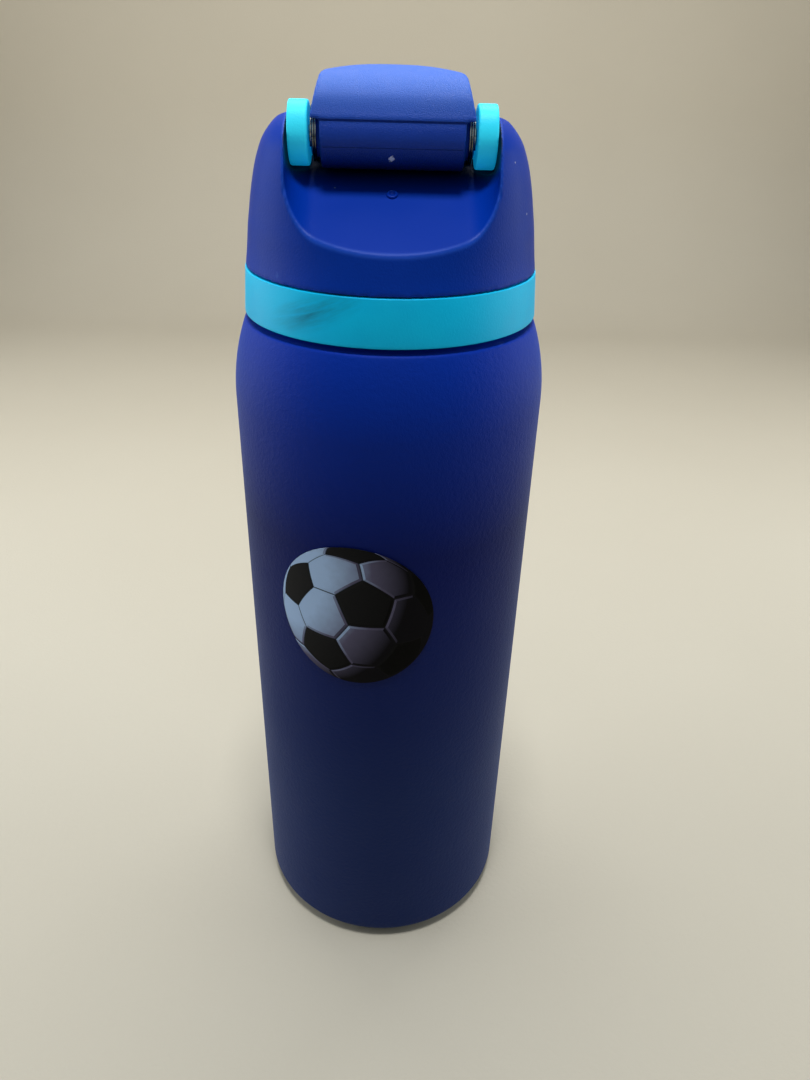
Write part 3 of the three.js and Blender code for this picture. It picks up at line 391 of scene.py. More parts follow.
# %% [markdown]
# ## Short names for shader nodes
# A finish is a small graph of nodes. Placing each node by hand takes four lines, so a few helpers shorten the
# common ones: a node with its inputs, a sum, a stretched value, a noise and a mix of two colours. Colours are
# written as they look on a screen and turned into the linear light that a shader works with.

# %% Node helpers
def group(name, inputs, outputs):
    tree = bpy.data.node_groups.new(name, "ShaderNodeTree")
    for label, value in inputs:
        socket = tree.interface.new_socket(name=label, in_out="INPUT", socket_type="NodeSocketFloat")
        socket.default_value = value
    for label in outputs:
        tree.interface.new_socket(name=label, in_out="OUTPUT", socket_type="NodeSocketFloat")
    return tree, tree.nodes.new("NodeGroupInput"), tree.nodes.new("NodeGroupOutput")


def node(tree, kind, settings=None, **inputs):
    """A node with its settings, and its inputs given as numbers or as links from other sockets."""
    made = tree.nodes.new("ShaderNode" + kind)
    for key, value in (settings or {}).items():
        setattr(made, key, value)
    for key, value in inputs.items():
        label = key.replace("_", " ")
        socket = made.inputs[int(key[1:])] if key[0] == "i" and key[1:].isdigit() else made.inputs[label]
        if isinstance(value, bpy.types.NodeSocket):
            tree.links.new(value, socket)
        else:
            socket.default_value = value
    return made


def maths(tree, operation, a, b=0.5, clamp=False):
    return node(tree, "Math", {"operation": operation, "use_clamp": clamp}, i0=a, i1=b).outputs[0]


def spread(tree, value, low, high, to_low=0.0, to_high=1.0):
    """Stretches a value between two limits and holds it there."""
    return node(tree, "MapRange", None, Value=value, From_Min=low, From_Max=high, To_Min=to_low,
                To_Max=to_high).outputs[0]


def noise(tree, vector, scale, detail=3.0, roughness=0.55):
    return node(tree, "TexNoise", None, Vector=vector, Scale=scale, Detail=detail,
                Roughness=roughness).outputs["Fac"]


def mixed(tree, share, a, b):
    """A colour between two colours."""
    mix = node(tree, "Mix", {"data_type": "RGBA"}, i0=share)
    for index, value in ((6, a), (7, b)):
        if isinstance(value, bpy.types.NodeSocket):
            tree.links.new(value, mix.inputs[index])
        else:
            mix.inputs[index].default_value = value
    return mix.outputs[2]


def ink(red, green, blue):
    """A screen colour, 0 to 255, as the linear light that a shader mixes."""
    return tuple(((c / 255 + 0.055) / 1.055) ** 2.4 if c > 10 else c / 255 / 12.92
                 for c in (red, green, blue)) + (1.0,)


print("blue in linear light:", [round(c, 3) for c in ink(60, 85, 155)])

# %% [markdown]
# ## Effects that several finishes share
# Real plastic and paint are never one colour and one gloss. Three small effects are built once as node
# groups and then placed in each finish with its own numbers: a fine moulded grain with a slow drift of
# shade, a pale rub where an edge sticks out, and specks of dust. A group only gives out numbers, and each
# finish decides what they change.

# %% Shared effects
def make_effects():
    effects = {}
    # grain: tiny hills from spark erosion of the mould, or from powder that melted into a skin
    tree, given, out = group("grain", [("Scale", 1800.0), ("Drift scale", 40.0)], ["Height", "Drift"])
    place = node(tree, "TexCoord").outputs["Object"]
    fine = noise(tree, place, given.outputs["Scale"], 2.0, 0.6)
    slow = noise(tree, place, given.outputs["Drift scale"], 3.0, 0.5)
    tree.links.new(fine, out.inputs["Height"])
    tree.links.new(slow, out.inputs["Drift"])
    effects["grain"] = tree

    # edge rub: Pointiness is above a half where the surface bends outwards
    tree, given, out = group("edge_rub", [("Start", 0.53), ("Full", 0.62), ("Patch scale", 350.0)], ["Mask"])
    place = node(tree, "TexCoord").outputs["Object"]
    bend = node(tree, "NewGeometry").outputs["Pointiness"]
    edge = node(tree, "MapRange", None, Value=bend, From_Min=given.outputs["Start"],
                From_Max=given.outputs["Full"]).outputs[0]
    patch = spread(tree, noise(tree, place, given.outputs["Patch scale"]), 0.35, 0.65)
    tree.links.new(maths(tree, "MULTIPLY", edge, patch), out.inputs["Mask"])
    effects["edge_rub"] = tree

    # dust: a few round specks where a random cell is picked
    tree, given, out = group("dust", [("Scale", 260.0), ("Share", 0.14), ("Size", 0.06)], ["Mask"])
    place = node(tree, "TexCoord").outputs["Object"]
    cells = node(tree, "TexVoronoi", {"feature": "F1"}, Vector=place, Scale=given.outputs["Scale"])
    picked = node(tree, "SeparateColor", None, Color=cells.outputs["Color"]).outputs[0]
    chosen = maths(tree, "LESS_THAN", picked, given.outputs["Share"])
    near = maths(tree, "LESS_THAN", cells.outputs["Distance"], given.outputs["Size"])
    tree.links.new(maths(tree, "MULTIPLY", chosen, near), out.inputs["Mask"])
    effects["dust"] = tree
    return effects


EFFECTS = make_effects()
print("effects:", sorted(EFFECTS))

# %% [markdown]
# ## Starting a finish
# Each finish starts the same way: an empty Principled shader with its fixed numbers set on its own sockets.
# The patterns are then linked into its colour, roughness and bump. Most blue parts are one satin plastic, so
# a single function makes it. The lid's version reads what its mesh stores about the scoop and paints a
# highlight along the scoop's rim and a shadow under the hinge barrel. The cover's version paints a highlight
# on its crown and a shadow on the underside of its barrel, and has one white chip in its paint-like skin.

# %% Finish helpers
def finish(name, **fixed):
    material = bpy.data.materials.new(name)
    material.use_nodes = True
    tree = material.node_tree
    shader = tree.nodes["Principled BSDF"]
    for key, value in fixed.items():
        shader.inputs[key.replace("_", " ")].default_value = value
    return material, tree, shader


def effect(tree, name, **inputs):
    made = tree.nodes.new("ShaderNodeGroup")
    made.node_tree = EFFECTS[name]
    for key, value in inputs.items():
        made.inputs[key.replace("_", " ")].default_value = value
    return made


def bump(tree, shader, height, distance, strength=1.0):
    made = node(tree, "Bump", None, Strength=strength, Distance=distance, Height=height)
    tree.links.new(made.outputs["Normal"], shader.inputs["Normal"])


CHIP_PLACE = (-0.0003, -0.0174, 0.2142)
HINGE_HEIGHT = HINGE_Z * MM
CROWN_HIGHLIGHT_FADE = (HINGE_HEIGHT + 0.0015, HINGE_HEIGHT + 0.0085)
BARREL_FADE = (HINGE_HEIGHT - 0.0015, HINGE_HEIGHT - 0.0062)
SCOOP_BLUE, SCOOP_RIM_HIGHLIGHT, SCOOP_SHADOW = ink(0, 52, 168), ink(50, 100, 215), ink(0, 2, 12)
CROWN_HIGHLIGHT_BLUE, BARREL_SHADOW = ink(52, 116, 226), ink(0, 4, 22)
CHIP_WHITE, DUST_GREY = ink(215, 222, 235), ink(205, 205, 200)


def moulded_plastic(name, colour, worn, roughness, grain_size, depth, ior=1.24, scooped=False, chipped_and_painted_light=False):
    """Satin plastic with rubbed edges and dust; on request the lid's scoop with a painted rim highlight and
    painted shadow, or the cover's chip with a painted crown highlight and painted barrel shadow.
    """
    material, tree, shader = finish(name, IOR=ior)
    grain = effect(tree, "grain", Scale=grain_size)
    rub = effect(tree, "edge_rub")
    dust = effect(tree, "dust")
    deeper = tuple(c * 0.86 for c in colour[:3]) + (1.0,)
    shade = mixed(tree, spread(tree, grain.outputs["Drift"], 0.35, 0.65), deeper, colour)
    shade = mixed(tree, maths(tree, "MULTIPLY", rub.outputs["Mask"], 0.35), shade, worn)
    shade = mixed(tree, maths(tree, "MULTIPLY", dust.outputs["Mask"], 0.7), shade, DUST_GREY)
    gloss = spread(tree, grain.outputs["Drift"], 0.35, 0.65, roughness - 0.05, roughness + 0.05)
    height = grain.outputs["Height"]
    if scooped:
        polished = node(tree, "Attribute", {"attribute_name": "polished"}).outputs["Fac"]
        shaded = node(tree, "Attribute", {"attribute_name": "shaded"}).outputs["Fac"]
        rim = node(tree, "Attribute", {"attribute_name": "rim"}).outputs["Fac"]
        shade = mixed(tree, maths(tree, "MULTIPLY", polished, 0.7), shade, SCOOP_BLUE)
        # painted highlight along the scoop's rim, read from the rim attribute
        edge = maths(tree, "MULTIPLY", spread(tree, rim, 0.1, 0.6), 0.3)
        shade = mixed(tree, edge, shade, SCOOP_RIM_HIGHLIGHT)
        shade = mixed(tree, maths(tree, "MULTIPLY", shaded, 0.95), shade, SCOOP_SHADOW)
        gloss = maths(tree, "SUBTRACT", gloss, maths(tree, "MULTIPLY", polished, 0.06))
        height = maths(tree, "MULTIPLY", height, spread(tree, polished, 0.0, 1.0, 1.0, 0.2))
    if chipped_and_painted_light:
        place = node(tree, "TexCoord").outputs["Object"]
        rise = node(tree, "SeparateXYZ", None, Vector=place).outputs["Z"]
        # painted highlight on the cover's crown and painted shadow under its barrel, both set by height
        shade = mixed(tree, spread(tree, rise, *CROWN_HIGHLIGHT_FADE, 0.0, 0.65), shade, CROWN_HIGHLIGHT_BLUE)
        shade = mixed(tree, spread(tree, rise, *BARREL_FADE, 0.0, 0.9), shade, BARREL_SHADOW)
        at_chip = node(tree, "VectorMath", {"operation": "DISTANCE"}, i0=place, i1=CHIP_PLACE)
        rough_edge = noise(tree, place, 2600.0, 2.0)
        chip = maths(tree, "LESS_THAN", maths(tree, "MULTIPLY", at_chip.outputs["Value"], 900.0), rough_edge)
        shade = mixed(tree, chip, shade, CHIP_WHITE)
    tree.links.new(shade, shader.inputs["Base Color"])
    tree.links.new(gloss, shader.inputs["Roughness"])
    bump(tree, shader, height, depth)
    return material


print("finish helpers ready")

# %% [markdown]
# ## Powder coat on the steel
# Powder coat is ground paint baked on. It melts into a skin with very small hills, called orange peel. Two
# noises give it: a broad one for the peel and a tight one for the sandy feel. Each small hill also catches
# light that grazes the wall, so a weak blue sheen lifts the edges. Roughness drifts where hands have
# polished the coat.

# %% Powder coat
COAT_LOW_FLOOR_REFLECTION, COAT_MIDDLE_SHADE, COAT_TOP_HIGHLIGHT = ink(12, 35, 88), ink(0, 18, 88), ink(0, 52, 172)
COAT_DRIFT, COAT_HEM_SHADOW = ink(6, 18, 70), ink(3, 3, 6)
COAT_RUB, COAT_DUST = ink(90, 110, 175), ink(190, 190, 190)
FLOOR_REFLECTION_FADE, TOP_HIGHLIGHT_FADE, HEM_SHADOW_FADE = (0.06, 0.13), (0.135, 0.185), (0.0042, 0.0026)  # heights in metres


def make_powder_coat():
    material, tree, shader = finish("blue_powder_coat", IOR=1.19, Sheen_Weight=0.12, Sheen_Roughness=0.35,
                                    Sheen_Tint=(0.25, 0.42, 1.0, 1.0))
    peel = effect(tree, "grain", Scale=900.0, Drift_scale=25.0)
    sand = effect(tree, "grain", Scale=3200.0)
    rub = effect(tree, "edge_rub", Start=0.54, Full=0.66)
    dust = effect(tree, "dust", Scale=110.0, Share=0.008, Size=0.05)
    place = node(tree, "TexCoord").outputs["Object"]
    rise = node(tree, "SeparateXYZ", None, Vector=place).outputs["Z"]
    # painted light and shade by height: a greyer painted floor reflection low down, a darker middle and a
    # painted highlight towards the top
    low_shade = mixed(tree, spread(tree, rise, *FLOOR_REFLECTION_FADE), COAT_LOW_FLOOR_REFLECTION, COAT_MIDDLE_SHADE)
    shade = mixed(tree, spread(tree, rise, *TOP_HIGHLIGHT_FADE), low_shade, COAT_TOP_HIGHLIGHT)
    shade = mixed(tree, spread(tree, peel.outputs["Drift"], 0.3, 0.7, 0.0, 0.14), shade, COAT_DRIFT)
    # painted contact shadow: the bottom few millimetres of the coat go almost black
    shade = mixed(tree, spread(tree, rise, *HEM_SHADOW_FADE), shade, COAT_HEM_SHADOW)
    shade = mixed(tree, maths(tree, "MULTIPLY", rub.outputs["Mask"], 0.3), shade, COAT_RUB)
    shade = mixed(tree, maths(tree, "MULTIPLY", dust.outputs["Mask"], 0.4), shade, COAT_DUST)
    tree.links.new(shade, shader.inputs["Base Color"])
    tree.links.new(spread(tree, peel.outputs["Drift"], 0.3, 0.7, 0.5, 0.58), shader.inputs["Roughness"])
    height = maths(tree, "ADD", peel.outputs["Height"], maths(tree, "MULTIPLY", sand.outputs["Height"], 0.5))
    bump(tree, shader, height, 0.00010)
    return material


POWDER_COAT = make_powder_coat()
print("finishes so far:", len(bpy.data.materials))

# %% [markdown]
# ## Three blue plastics
# Lid, cover and spout are the same blue, but each mould leaves its own skin. The lid is satin. The cover has
# a coarser grain, because its mould was etched to hide scratches, and the spout is smooth, so that it cleans
# easily.

# %% Blue plastics
LID_BLUE = moulded_plastic("blue_moulded_plastic", ink(0, 54, 166), ink(80, 125, 210), 0.46, 2200.0, 0.00006,
                           1.19, scooped=True)
COVER_BLUE = moulded_plastic("blue_cover_plastic", ink(4, 62, 176), ink(100, 150, 235), 0.50, 5200.0, 0.00011,
                             1.36, chipped_and_painted_light=True)
SPOUT_BLUE = moulded_plastic("blue_spout_plastic", ink(6, 64, 176), ink(100, 150, 235), 0.34, 2200.0, 0.00005)
print("blue plastics:", LID_BLUE.name, COVER_BLUE.name, SPOUT_BLUE.name)

# %% [markdown]
# ## Bright ring and loop
# The collar and the carry loop are moulded in bright cyan. The loop's finish has a weak emission, a painted
# glow that makes it brighter than its lamps alone would, and the button and the cover's lining share it. The
# collar is gripped often, and a grey smudge stays on it to the left of its middle. It is a soft blot, broken
# up by noise.

# %% Cyan plastic
CYAN_PAINTED_GLOW, CYAN_RUB, SMUDGE_GREY = ink(0, 150, 205), ink(185, 240, 250), ink(22, 88, 110)
SMUDGE_PLACE = (-0.0150, -0.030, 0.1876)
SMUDGE_HALF = (0.0105, 0.02, 0.0036)
SMUDGE_TURN = math.radians(-22)


def make_cyan(name, colour, deeper, painted_glow=0.0, smudged=False):
    # the emission is a painted glow, off unless a strength is given
    material, tree, shader = finish(name, IOR=1.25, Emission_Color=CYAN_PAINTED_GLOW, Emission_Strength=painted_glow)
    grain = effect(tree, "grain", Scale=2400.0, Drift_scale=60.0)
    rub = effect(tree, "edge_rub")
    shade = mixed(tree, spread(tree, grain.outputs["Drift"], 0.35, 0.65), deeper, colour)
    shade = mixed(tree, maths(tree, "MULTIPLY", rub.outputs["Mask"], 0.3), shade, CYAN_RUB)
    if smudged:
        place = node(tree, "TexCoord").outputs["Object"]
        blot_at = node(tree, "Mapping", {"vector_type": "TEXTURE"}, Vector=place,
                       Location=SMUDGE_PLACE, Rotation=(0, SMUDGE_TURN, 0), Scale=SMUDGE_HALF)
        reach = node(tree, "VectorMath", {"operation": "LENGTH"}, i0=blot_at.outputs[0]).outputs["Value"]
        blot = spread(tree, reach, 0.1, 1.1, 1.0, 0.0)
        streaked = node(tree, "Mapping", None, Vector=blot_at.outputs[0], Scale=(0.8, 0.1, 2.0)).outputs[0]
        torn = spread(tree, noise(tree, streaked, 1.6, 4.0, 0.55), 0.25, 0.70)
        smear = maths(tree, "MULTIPLY", blot, torn)
        shade = mixed(tree, maths(tree, "MULTIPLY", smear, 0.75), shade, SMUDGE_GREY)
    tree.links.new(shade, shader.inputs["Base Color"])
    tree.links.new(spread(tree, grain.outputs["Drift"], 0.35, 0.65, 0.40, 0.50), shader.inputs["Roughness"])
    bump(tree, shader, grain.outputs["Height"], 0.00004)
    return material


RING_CYAN = make_cyan("cyan_ring_plastic", ink(0, 204, 252), ink(0, 194, 246), smudged=True)
GLOWING_LOOP_CYAN = make_cyan("glowing_cyan_loop_plastic", ink(66, 240, 255), ink(54, 232, 255), painted_glow=0.36)
print("cyan finishes:", RING_CYAN.name, GLOWING_LOOP_CYAN.name)

# %% [markdown]
# ## Steel, wire, rubber and silicone
# The liner is spun, so its brushing runs round the axis: noise squeezed along the height gives fine rings.
# The springs are drawn wire, almost a mirror, and the hinge springs get a painted shadow where they sink into
# their pocket and where the cover plate hangs over them. The hinge pin's steel is darkened to stand in for
# the shade of the gap it sits in. Rubber is dark and dull. Silicone lets some light into its skin, which
# subsurface scattering shows, and the straw is a frosted clear tube.

# %% Metals and soft plastics
def make_steel():
    material, tree, shader = finish("brushed_steel", Metallic=1.0)
    place = node(tree, "TexCoord").outputs["Object"]
    rings = node(tree, "Mapping", None, Vector=place, Scale=(60.0, 60.0, 5000.0)).outputs[0]
    lines = noise(tree, rings, 1.0, 4.0, 0.7)
    tree.links.new(mixed(tree, lines, ink(150, 152, 156), ink(214, 214, 215)), shader.inputs["Base Color"])
    tree.links.new(spread(tree, lines, 0.3, 0.7, 0.24, 0.40), shader.inputs["Roughness"])
    bump(tree, shader, lines, 0.00002)
    return material


WIRE_SINKS = (HINGE_HEIGHT + 0.0015, HINGE_HEIGHT - 0.0025)  # down into the hinge pocket's shadow
WIRE_RISES = (HINGE_HEIGHT + 0.0028, HINGE_HEIGHT + 0.0040)  # up into the cover plate's shadow
WIRE_STAINED, WIRE_CLEAN, WIRE_SHADOW = ink(130, 126, 116), ink(240, 238, 232), ink(14, 13, 12)


def make_wire(name, stained, clean, shadowed=False):
    material, tree, shader = finish(name, Metallic=1.0)
    stain = effect(tree, "grain", Scale=1500.0, Drift_scale=500.0)
    shade = mixed(tree, stain.outputs["Drift"], stained, clean)
    if shadowed:
        place = node(tree, "TexCoord").outputs["Object"]
        rise = node(tree, "SeparateXYZ", None, Vector=place).outputs["Z"]
        shade = mixed(tree, spread(tree, rise, *WIRE_SINKS, 0.0, 0.97), shade, WIRE_SHADOW)
        shade = mixed(tree, spread(tree, rise, *WIRE_RISES, 0.0, 0.95), shade, WIRE_SHADOW)
    tree.links.new(shade, shader.inputs["Base Color"])
    tree.links.new(spread(tree, stain.outputs["Drift"], 0.3, 0.7, 0.12, 0.3), shader.inputs["Roughness"])
    bump(tree, shader, stain.outputs["Height"], 0.00002)
    return material


def make_rubber():
    material, tree, shader = finish("black_rubber", IOR=1.5)
    grain = effect(tree, "grain", Scale=1400.0)
    rub = effect(tree, "edge_rub")
    shade = mixed(tree, grain.outputs["Drift"], ink(20, 20, 22), ink(34, 34, 36))
    shade = mixed(tree, maths(tree, "MULTIPLY", rub.outputs["Mask"], 0.5), shade, ink(90, 88, 84))
    tree.links.new(shade, shader.inputs["Base Color"])
    tree.links.new(spread(tree, grain.outputs["Drift"], 0.3, 0.7, 0.65, 0.8), shader.inputs["Roughness"])
    bump(tree, shader, grain.outputs["Height"], 0.00010)
    return material


def make_silicone():
    material, tree, shader = finish("clear_silicone", IOR=1.41, Subsurface_Weight=0.5, Subsurface_Scale=0.004,
                                    Subsurface_Radius=(1.0, 1.0, 1.0))
    grain = effect(tree, "grain", Scale=1200.0)
    tree.links.new(mixed(tree, grain.outputs["Drift"], ink(166, 174, 180), ink(196, 202, 207)),
                   shader.inputs["Base Color"])
    tree.links.new(spread(tree, grain.outputs["Drift"], 0.3, 0.7, 0.4, 0.55), shader.inputs["Roughness"])
    bump(tree, shader, grain.outputs["Height"], 0.00004)
    return material


def make_straw_plastic():
    material, tree, shader = finish("straw_plastic", IOR=1.49, Transmission_Weight=0.55)
    grain = effect(tree, "grain", Scale=900.0, Drift_scale=150.0)
    tree.links.new(mixed(tree, grain.outputs["Drift"], ink(212, 222, 232), ink(236, 241, 246)),
                   shader.inputs["Base Color"])
    tree.links.new(spread(tree, grain.outputs["Drift"], 0.3, 0.7, 0.22, 0.38), shader.inputs["Roughness"])
    bump(tree, shader, grain.outputs["Height"], 0.00002)
    return material


CARD_DARK, CARD_LIGHT = ink(192, 183, 166), ink(202, 194, 178)


def make_card():
    """The sweep's warm card, with a faint cloudiness and a paper tooth."""
    material, tree, shader = finish("studio_card", Roughness=0.75, IOR=1.4)
    grain = effect(tree, "grain", Scale=700.0, Drift_scale=4.0)
    tree.links.new(mixed(tree, grain.outputs["Drift"], CARD_DARK, CARD_LIGHT), shader.inputs["Base Color"])
    bump(tree, shader, grain.outputs["Height"], 0.0001)
    return material


sweep.data.materials.append(make_card())
STEEL, RUBBER = make_steel(), make_rubber()
WIRE = make_wire("spring_wire", WIRE_STAINED, WIRE_CLEAN)
HINGE_WIRE = make_wire("hinge_spring_wire", WIRE_STAINED, WIRE_CLEAN, shadowed=True)
# painted shade: the pin's steel is made dark to stand in for the shade of the hinge gap
PIN_STEEL_DARK_FOR_SHADE = make_wire("pin_steel_darkened_for_shade", ink(26, 26, 28), ink(58, 58, 60))
SILICONE, STRAW_CLEAR = make_silicone(), make_straw_plastic()
print("all finishes:", [m.name for m in bpy.data.materials])

# %% [markdown]
# ## Steel body
# The body is one sheet of steel drawn into a can, with a rolled bottom edge, a domed shoulder and a straight
# neck. It is a pure turned shape, so its section is drawn once and spun. The section runs up the outside and
# comes back down the inside, which gives the sheet its true thickness at the mouth.

# %% Steel body
BODY_WALL = 0.8
SHOULDER_SWEEP = 49.0
SHOULDER_START = MOUTH_TOP - 22.5
SHOULDER_TOP = MOUTH_TOP - 4.2
BODY_BOTTOM = shell_low.z
BASE_CORNER = 3.0
NECK_RADIUS = BODY_RADIUS - 6.5
NECK_WALL = 0.6


def shoulder(inset, top, steps=24):
    """The shoulder's curve, or the inside of it, from the straight wall up to a height."""
    centre = BODY_RADIUS - SHOULDER_SWEEP
    sweep_radius = SHOULDER_SWEEP - inset
    rises = [(top - SHOULDER_START) * i / steps for i in range(steps + 1)]
    return [(centre + math.sqrt(sweep_radius ** 2 - rise ** 2), SHOULDER_START + rise) for rise in rises]


def make_shell():
    corner_r, corner_z = BODY_RADIUS - BASE_CORNER, BODY_BOTTOM + BASE_CORNER
    hem = corner_r - 0.9
    edge = shoulder(0, SHOULDER_TOP - 0.7)
    edge_r = edge[-1][0]
    top = [(NECK_RADIUS + 0.8, SHOULDER_TOP, 0.0), (NECK_RADIUS, SHOULDER_TOP + 0.6, 0.4),
           (NECK_RADIUS, shell_high.z, 0.15), (NECK_RADIUS - NECK_WALL, shell_high.z, 0.15),
           (NECK_RADIUS - NECK_WALL, SHOULDER_TOP - BODY_WALL, 0.3)]
    outline = [(hem, BODY_BOTTOM)] + arc(corner_r, corner_z, BASE_CORNER, -90, 0, 12)
    outline += [(BODY_RADIUS, z) for z in (40, 80, 120)] + edge
    outline += [(edge_r - 0.15, SHOULDER_TOP - 0.36), (edge_r - 0.42, SHOULDER_TOP - 0.12),
                (edge_r - 0.9, SHOULDER_TOP)]
    outline += rounded([(edge_r - 1.0, SHOULDER_TOP, 0.0)] + top
                       + [(edge_r - 2.0, SHOULDER_TOP - BODY_WALL, 0.0)], closed=False)
    outline += shoulder(BODY_WALL, SHOULDER_TOP - BODY_WALL - 0.7)[::-1]
    outline += arc(corner_r, corner_z, BASE_CORNER - BODY_WALL, 0, -90, 8) + [(hem, BODY_BOTTOM + BODY_WALL)]
    return placed(scratch(turned(outline, 192)), "steel_body", "bottle", "outer_shell",
                  POWDER_COAT)


sharpened(make_shell(), 50)

# %% [markdown]
# ## Liner with its screw thread
# Inside is a second steel can, the liner. Its mouth carries the screw thread, a ridge pressed in from
# outside that winds one and a quarter turns. A thread is a spin that also rises at each step, which the spin
# operator calls its offset. The ridge is then joined to the wall, so the two are one skin.

# %% Liner
PITCH = 4.0
THREAD_TURNS = 1.25
MOUTH_RADIUS = NECK_RADIUS - 1.4
MOUTH_RIDGE = 1.3
LINER_WALL = 0.6
LINER_RADIUS = liner_high.x - LINER_WALL
LINER_FLOOR = liner_low.z + LINER_WALL
LINER_CORNER = 6.0
THREAD_LOW = MOUTH_TOP - 14.1


def ridge(foot, rise, low):
    """A ridge that winds up round the axis. A negative rise makes it stand inwards."""
    sunk = math.copysign(0.2, rise)
    section = rounded([(foot - sunk, low - 0.7, 0), (foot + rise, low - 0.4, 0.3),
                       (foot + rise, low + 0.4, 0.3), (foot - sunk, low + 0.7, 0)])
    bm = bmesh.new()
    face = bm.faces.new([bm.verts.new((r, 0, z)) for r, z in section])
    steps = round(TURN_STEPS * THREAD_TURNS)
    bmesh.ops.spin(bm, geom=[face] + face.edges[:] + face.verts[:], cent=(0, 0, 0), axis=(0, 0, 1),
                   angle=THREAD_TURNS * math.tau, steps=steps, dvec=(0, 0, PITCH * THREAD_TURNS / steps))
    bmesh.ops.recalc_face_normals(bm, faces=bm.faces)
    return bm


def make_liner():
    belly, neck = max(liner_high.x, NECK_RADIUS), MOUTH_RADIUS + LINER_WALL - 0.1
    straight = MOUTH_TOP - 17.5
    ease = [(i / 12, (i / 12) ** 2 * (3 - 2 * i / 12)) for i in range(13)]
    outside = [(neck + (belly - neck) * s, straight - 8 * t) for t, s in ease]
    inside = [(MOUTH_RADIUS + (LINER_RADIUS - MOUTH_RADIUS) * s, straight - 8 * t) for t, s in ease]
    lip = rounded([(neck, MOUTH_TOP - LINER_WALL, 0.1), (NECK_RADIUS, MOUTH_TOP - LINER_WALL, 0.2),
                   (NECK_RADIUS, MOUTH_TOP, 0.28), (MOUTH_RADIUS, MOUTH_TOP, 0.28),
                   (MOUTH_RADIUS, straight, 0)], closed=False)
    outline = [(0, liner_low.z)]
    outline += arc(belly - LINER_CORNER, liner_low.z + LINER_CORNER, LINER_CORNER, -90, 0, 12)
    outline += outside[::-1] + lip[:-1] + inside
    inner_corner = LINER_CORNER - LINER_WALL
    outline += arc(LINER_RADIUS - inner_corner, LINER_FLOOR + inner_corner, inner_corner, 0, -90, 12)
    outline += [(0, LINER_FLOOR)]
    liner = scratch(turned(outline))
    joined(liner, ridge(MOUTH_RADIUS, -MOUTH_RIDGE, THREAD_LOW + PITCH / 2))
    return placed(liner, "steel_liner", "bottle", "inner_liner", STEEL)


sharpened(make_liner())

# %% [markdown]
# ## Underside
# The bottle's underside is a pressed steel cup with a small cap over the hole the air was pumped out
# through. A rubber foot sits round its edge, so the bottle stands quietly. All three are turned. Grooves in
# the foot's tread come from the section too.

# %% Base cup, cap and foot
ring_high = box_mm("base_ring")[1]
cup_low, cup_high = box_mm("base_cup")
cap_low, cap_high = box_mm("vacuum_seal_cap")
FOOT_BORE = ring_high.x - 9.2


def make_base():
    rim, hem = cup_high.x, cup_low.z
    foot, dome = rim - 6, cup_high.z - BODY_WALL
    cup = [(0, dome, 0), (foot - 4, dome, 2.0), (foot, hem, 1.5), (rim, hem, 0.2),
           (rim, hem + BODY_WALL, 0.2), (foot + 0.4, hem + BODY_WALL, 1.2),
           (foot - 3.6, dome + BODY_WALL, 1.8), (0, dome + BODY_WALL, 0)]
    placed(scratch(turned(rounded(cup))), "steel_base_cup", "bottle", "base_cup", STEEL)
    cap = [(0, cap_low.z, 0), (cap_high.x - 0.5, cap_low.z, 0.3), (cap_high.x, cap_low.z + 0.4, 0.2),
           (cap_high.x, cap_high.z, 0.1), (0, cap_high.z, 0)]
    placed(scratch(turned(rounded(cap), 64)), "vacuum_cap", "bottle", "vacuum_seal_cap", STEEL)
    tread = [(FOOT_BORE, 0.4, 0.15), (FOOT_BORE + 0.4, 0, 0.2)]
    for groove in (3.0, 5.8):
        tread += [(FOOT_BORE + groove - 0.5, 0, 0.1), (FOOT_BORE + groove - 0.3, 0.35, 0.1),
                  (FOOT_BORE + groove + 0.3, 0.35, 0.1), (FOOT_BORE + groove + 0.5, 0, 0.1)]
    tread += [(ring_high.x - 0.6, 0, 0.5), (ring_high.x, 0.7, 0.4), (ring_high.x, ring_high.z, 0.3),
              (FOOT_BORE, ring_high.z, 0.3)]
    return placed(scratch(turned(rounded(tread), 160)), "rubber_foot", "bottle", "base_ring",
                  RUBBER)


make_base()
for name, material in (("getter_cup", STEEL), ("getter_pill", WIRE)):
    frame["nodes"][name].data.materials.clear()
    frame["nodes"][name].data.materials.append(material)
print("underside ready")

# %% [markdown]
# ## Collar
# The bright ring, the screw plug under it and the deck over the mouth are one moulding, the collar. Its
# section is spun like the others, then the plug's thread is joined on, and the windows for the spout, the
# vent and the button are cut through. The plug's wall has a few rows of points, so that the rubbed tone of
# its edge stays there.

# %% Collar
spout_low, spout_high = box_mm("spout")
SPOUT_HALF = (spout_high.x, (spout_high.y - spout_low.y) / 2)
SPOUT_Y = (spout_high.y + spout_low.y) / 2
STUB_HALF = (SPOUT_HALF[0] - 2.3, SPOUT_HALF[1] - 1.4)
BAND_BOTTOM = SHOULDER_TOP + 1.2
BAND_RADIUS_HIGH = BAND_RADIUS - 0.7
SEAL_LOW = MOUTH_TOP + GAP
CEILING = SEAL_LOW + 1.8 + GAP
DECK_TOP = CEILING + 2.5
PLUG_RADIUS = MOUTH_RADIUS - MOUTH_RIDGE - RUN
UPSTAND_RADIUS = BAND_RADIUS_HIGH - 3.8
UPSTAND_TOP = BAND_TOP + 5.8
BUTTON_HALF = 10.0
BUTTON_LOW = BAND_TOP + 2.8
BUTTON_HIGH = BUTTON_LOW + 10.2
BUTTON_BACK = BAND_RADIUS_HIGH - 8.7
SEAT_FRONT = BUTTON_BACK - 8.2
GASKET_HALF = (STUB_HALF[0] + RUN + 1.2, STUB_HALF[1] + RUN + 1.2)
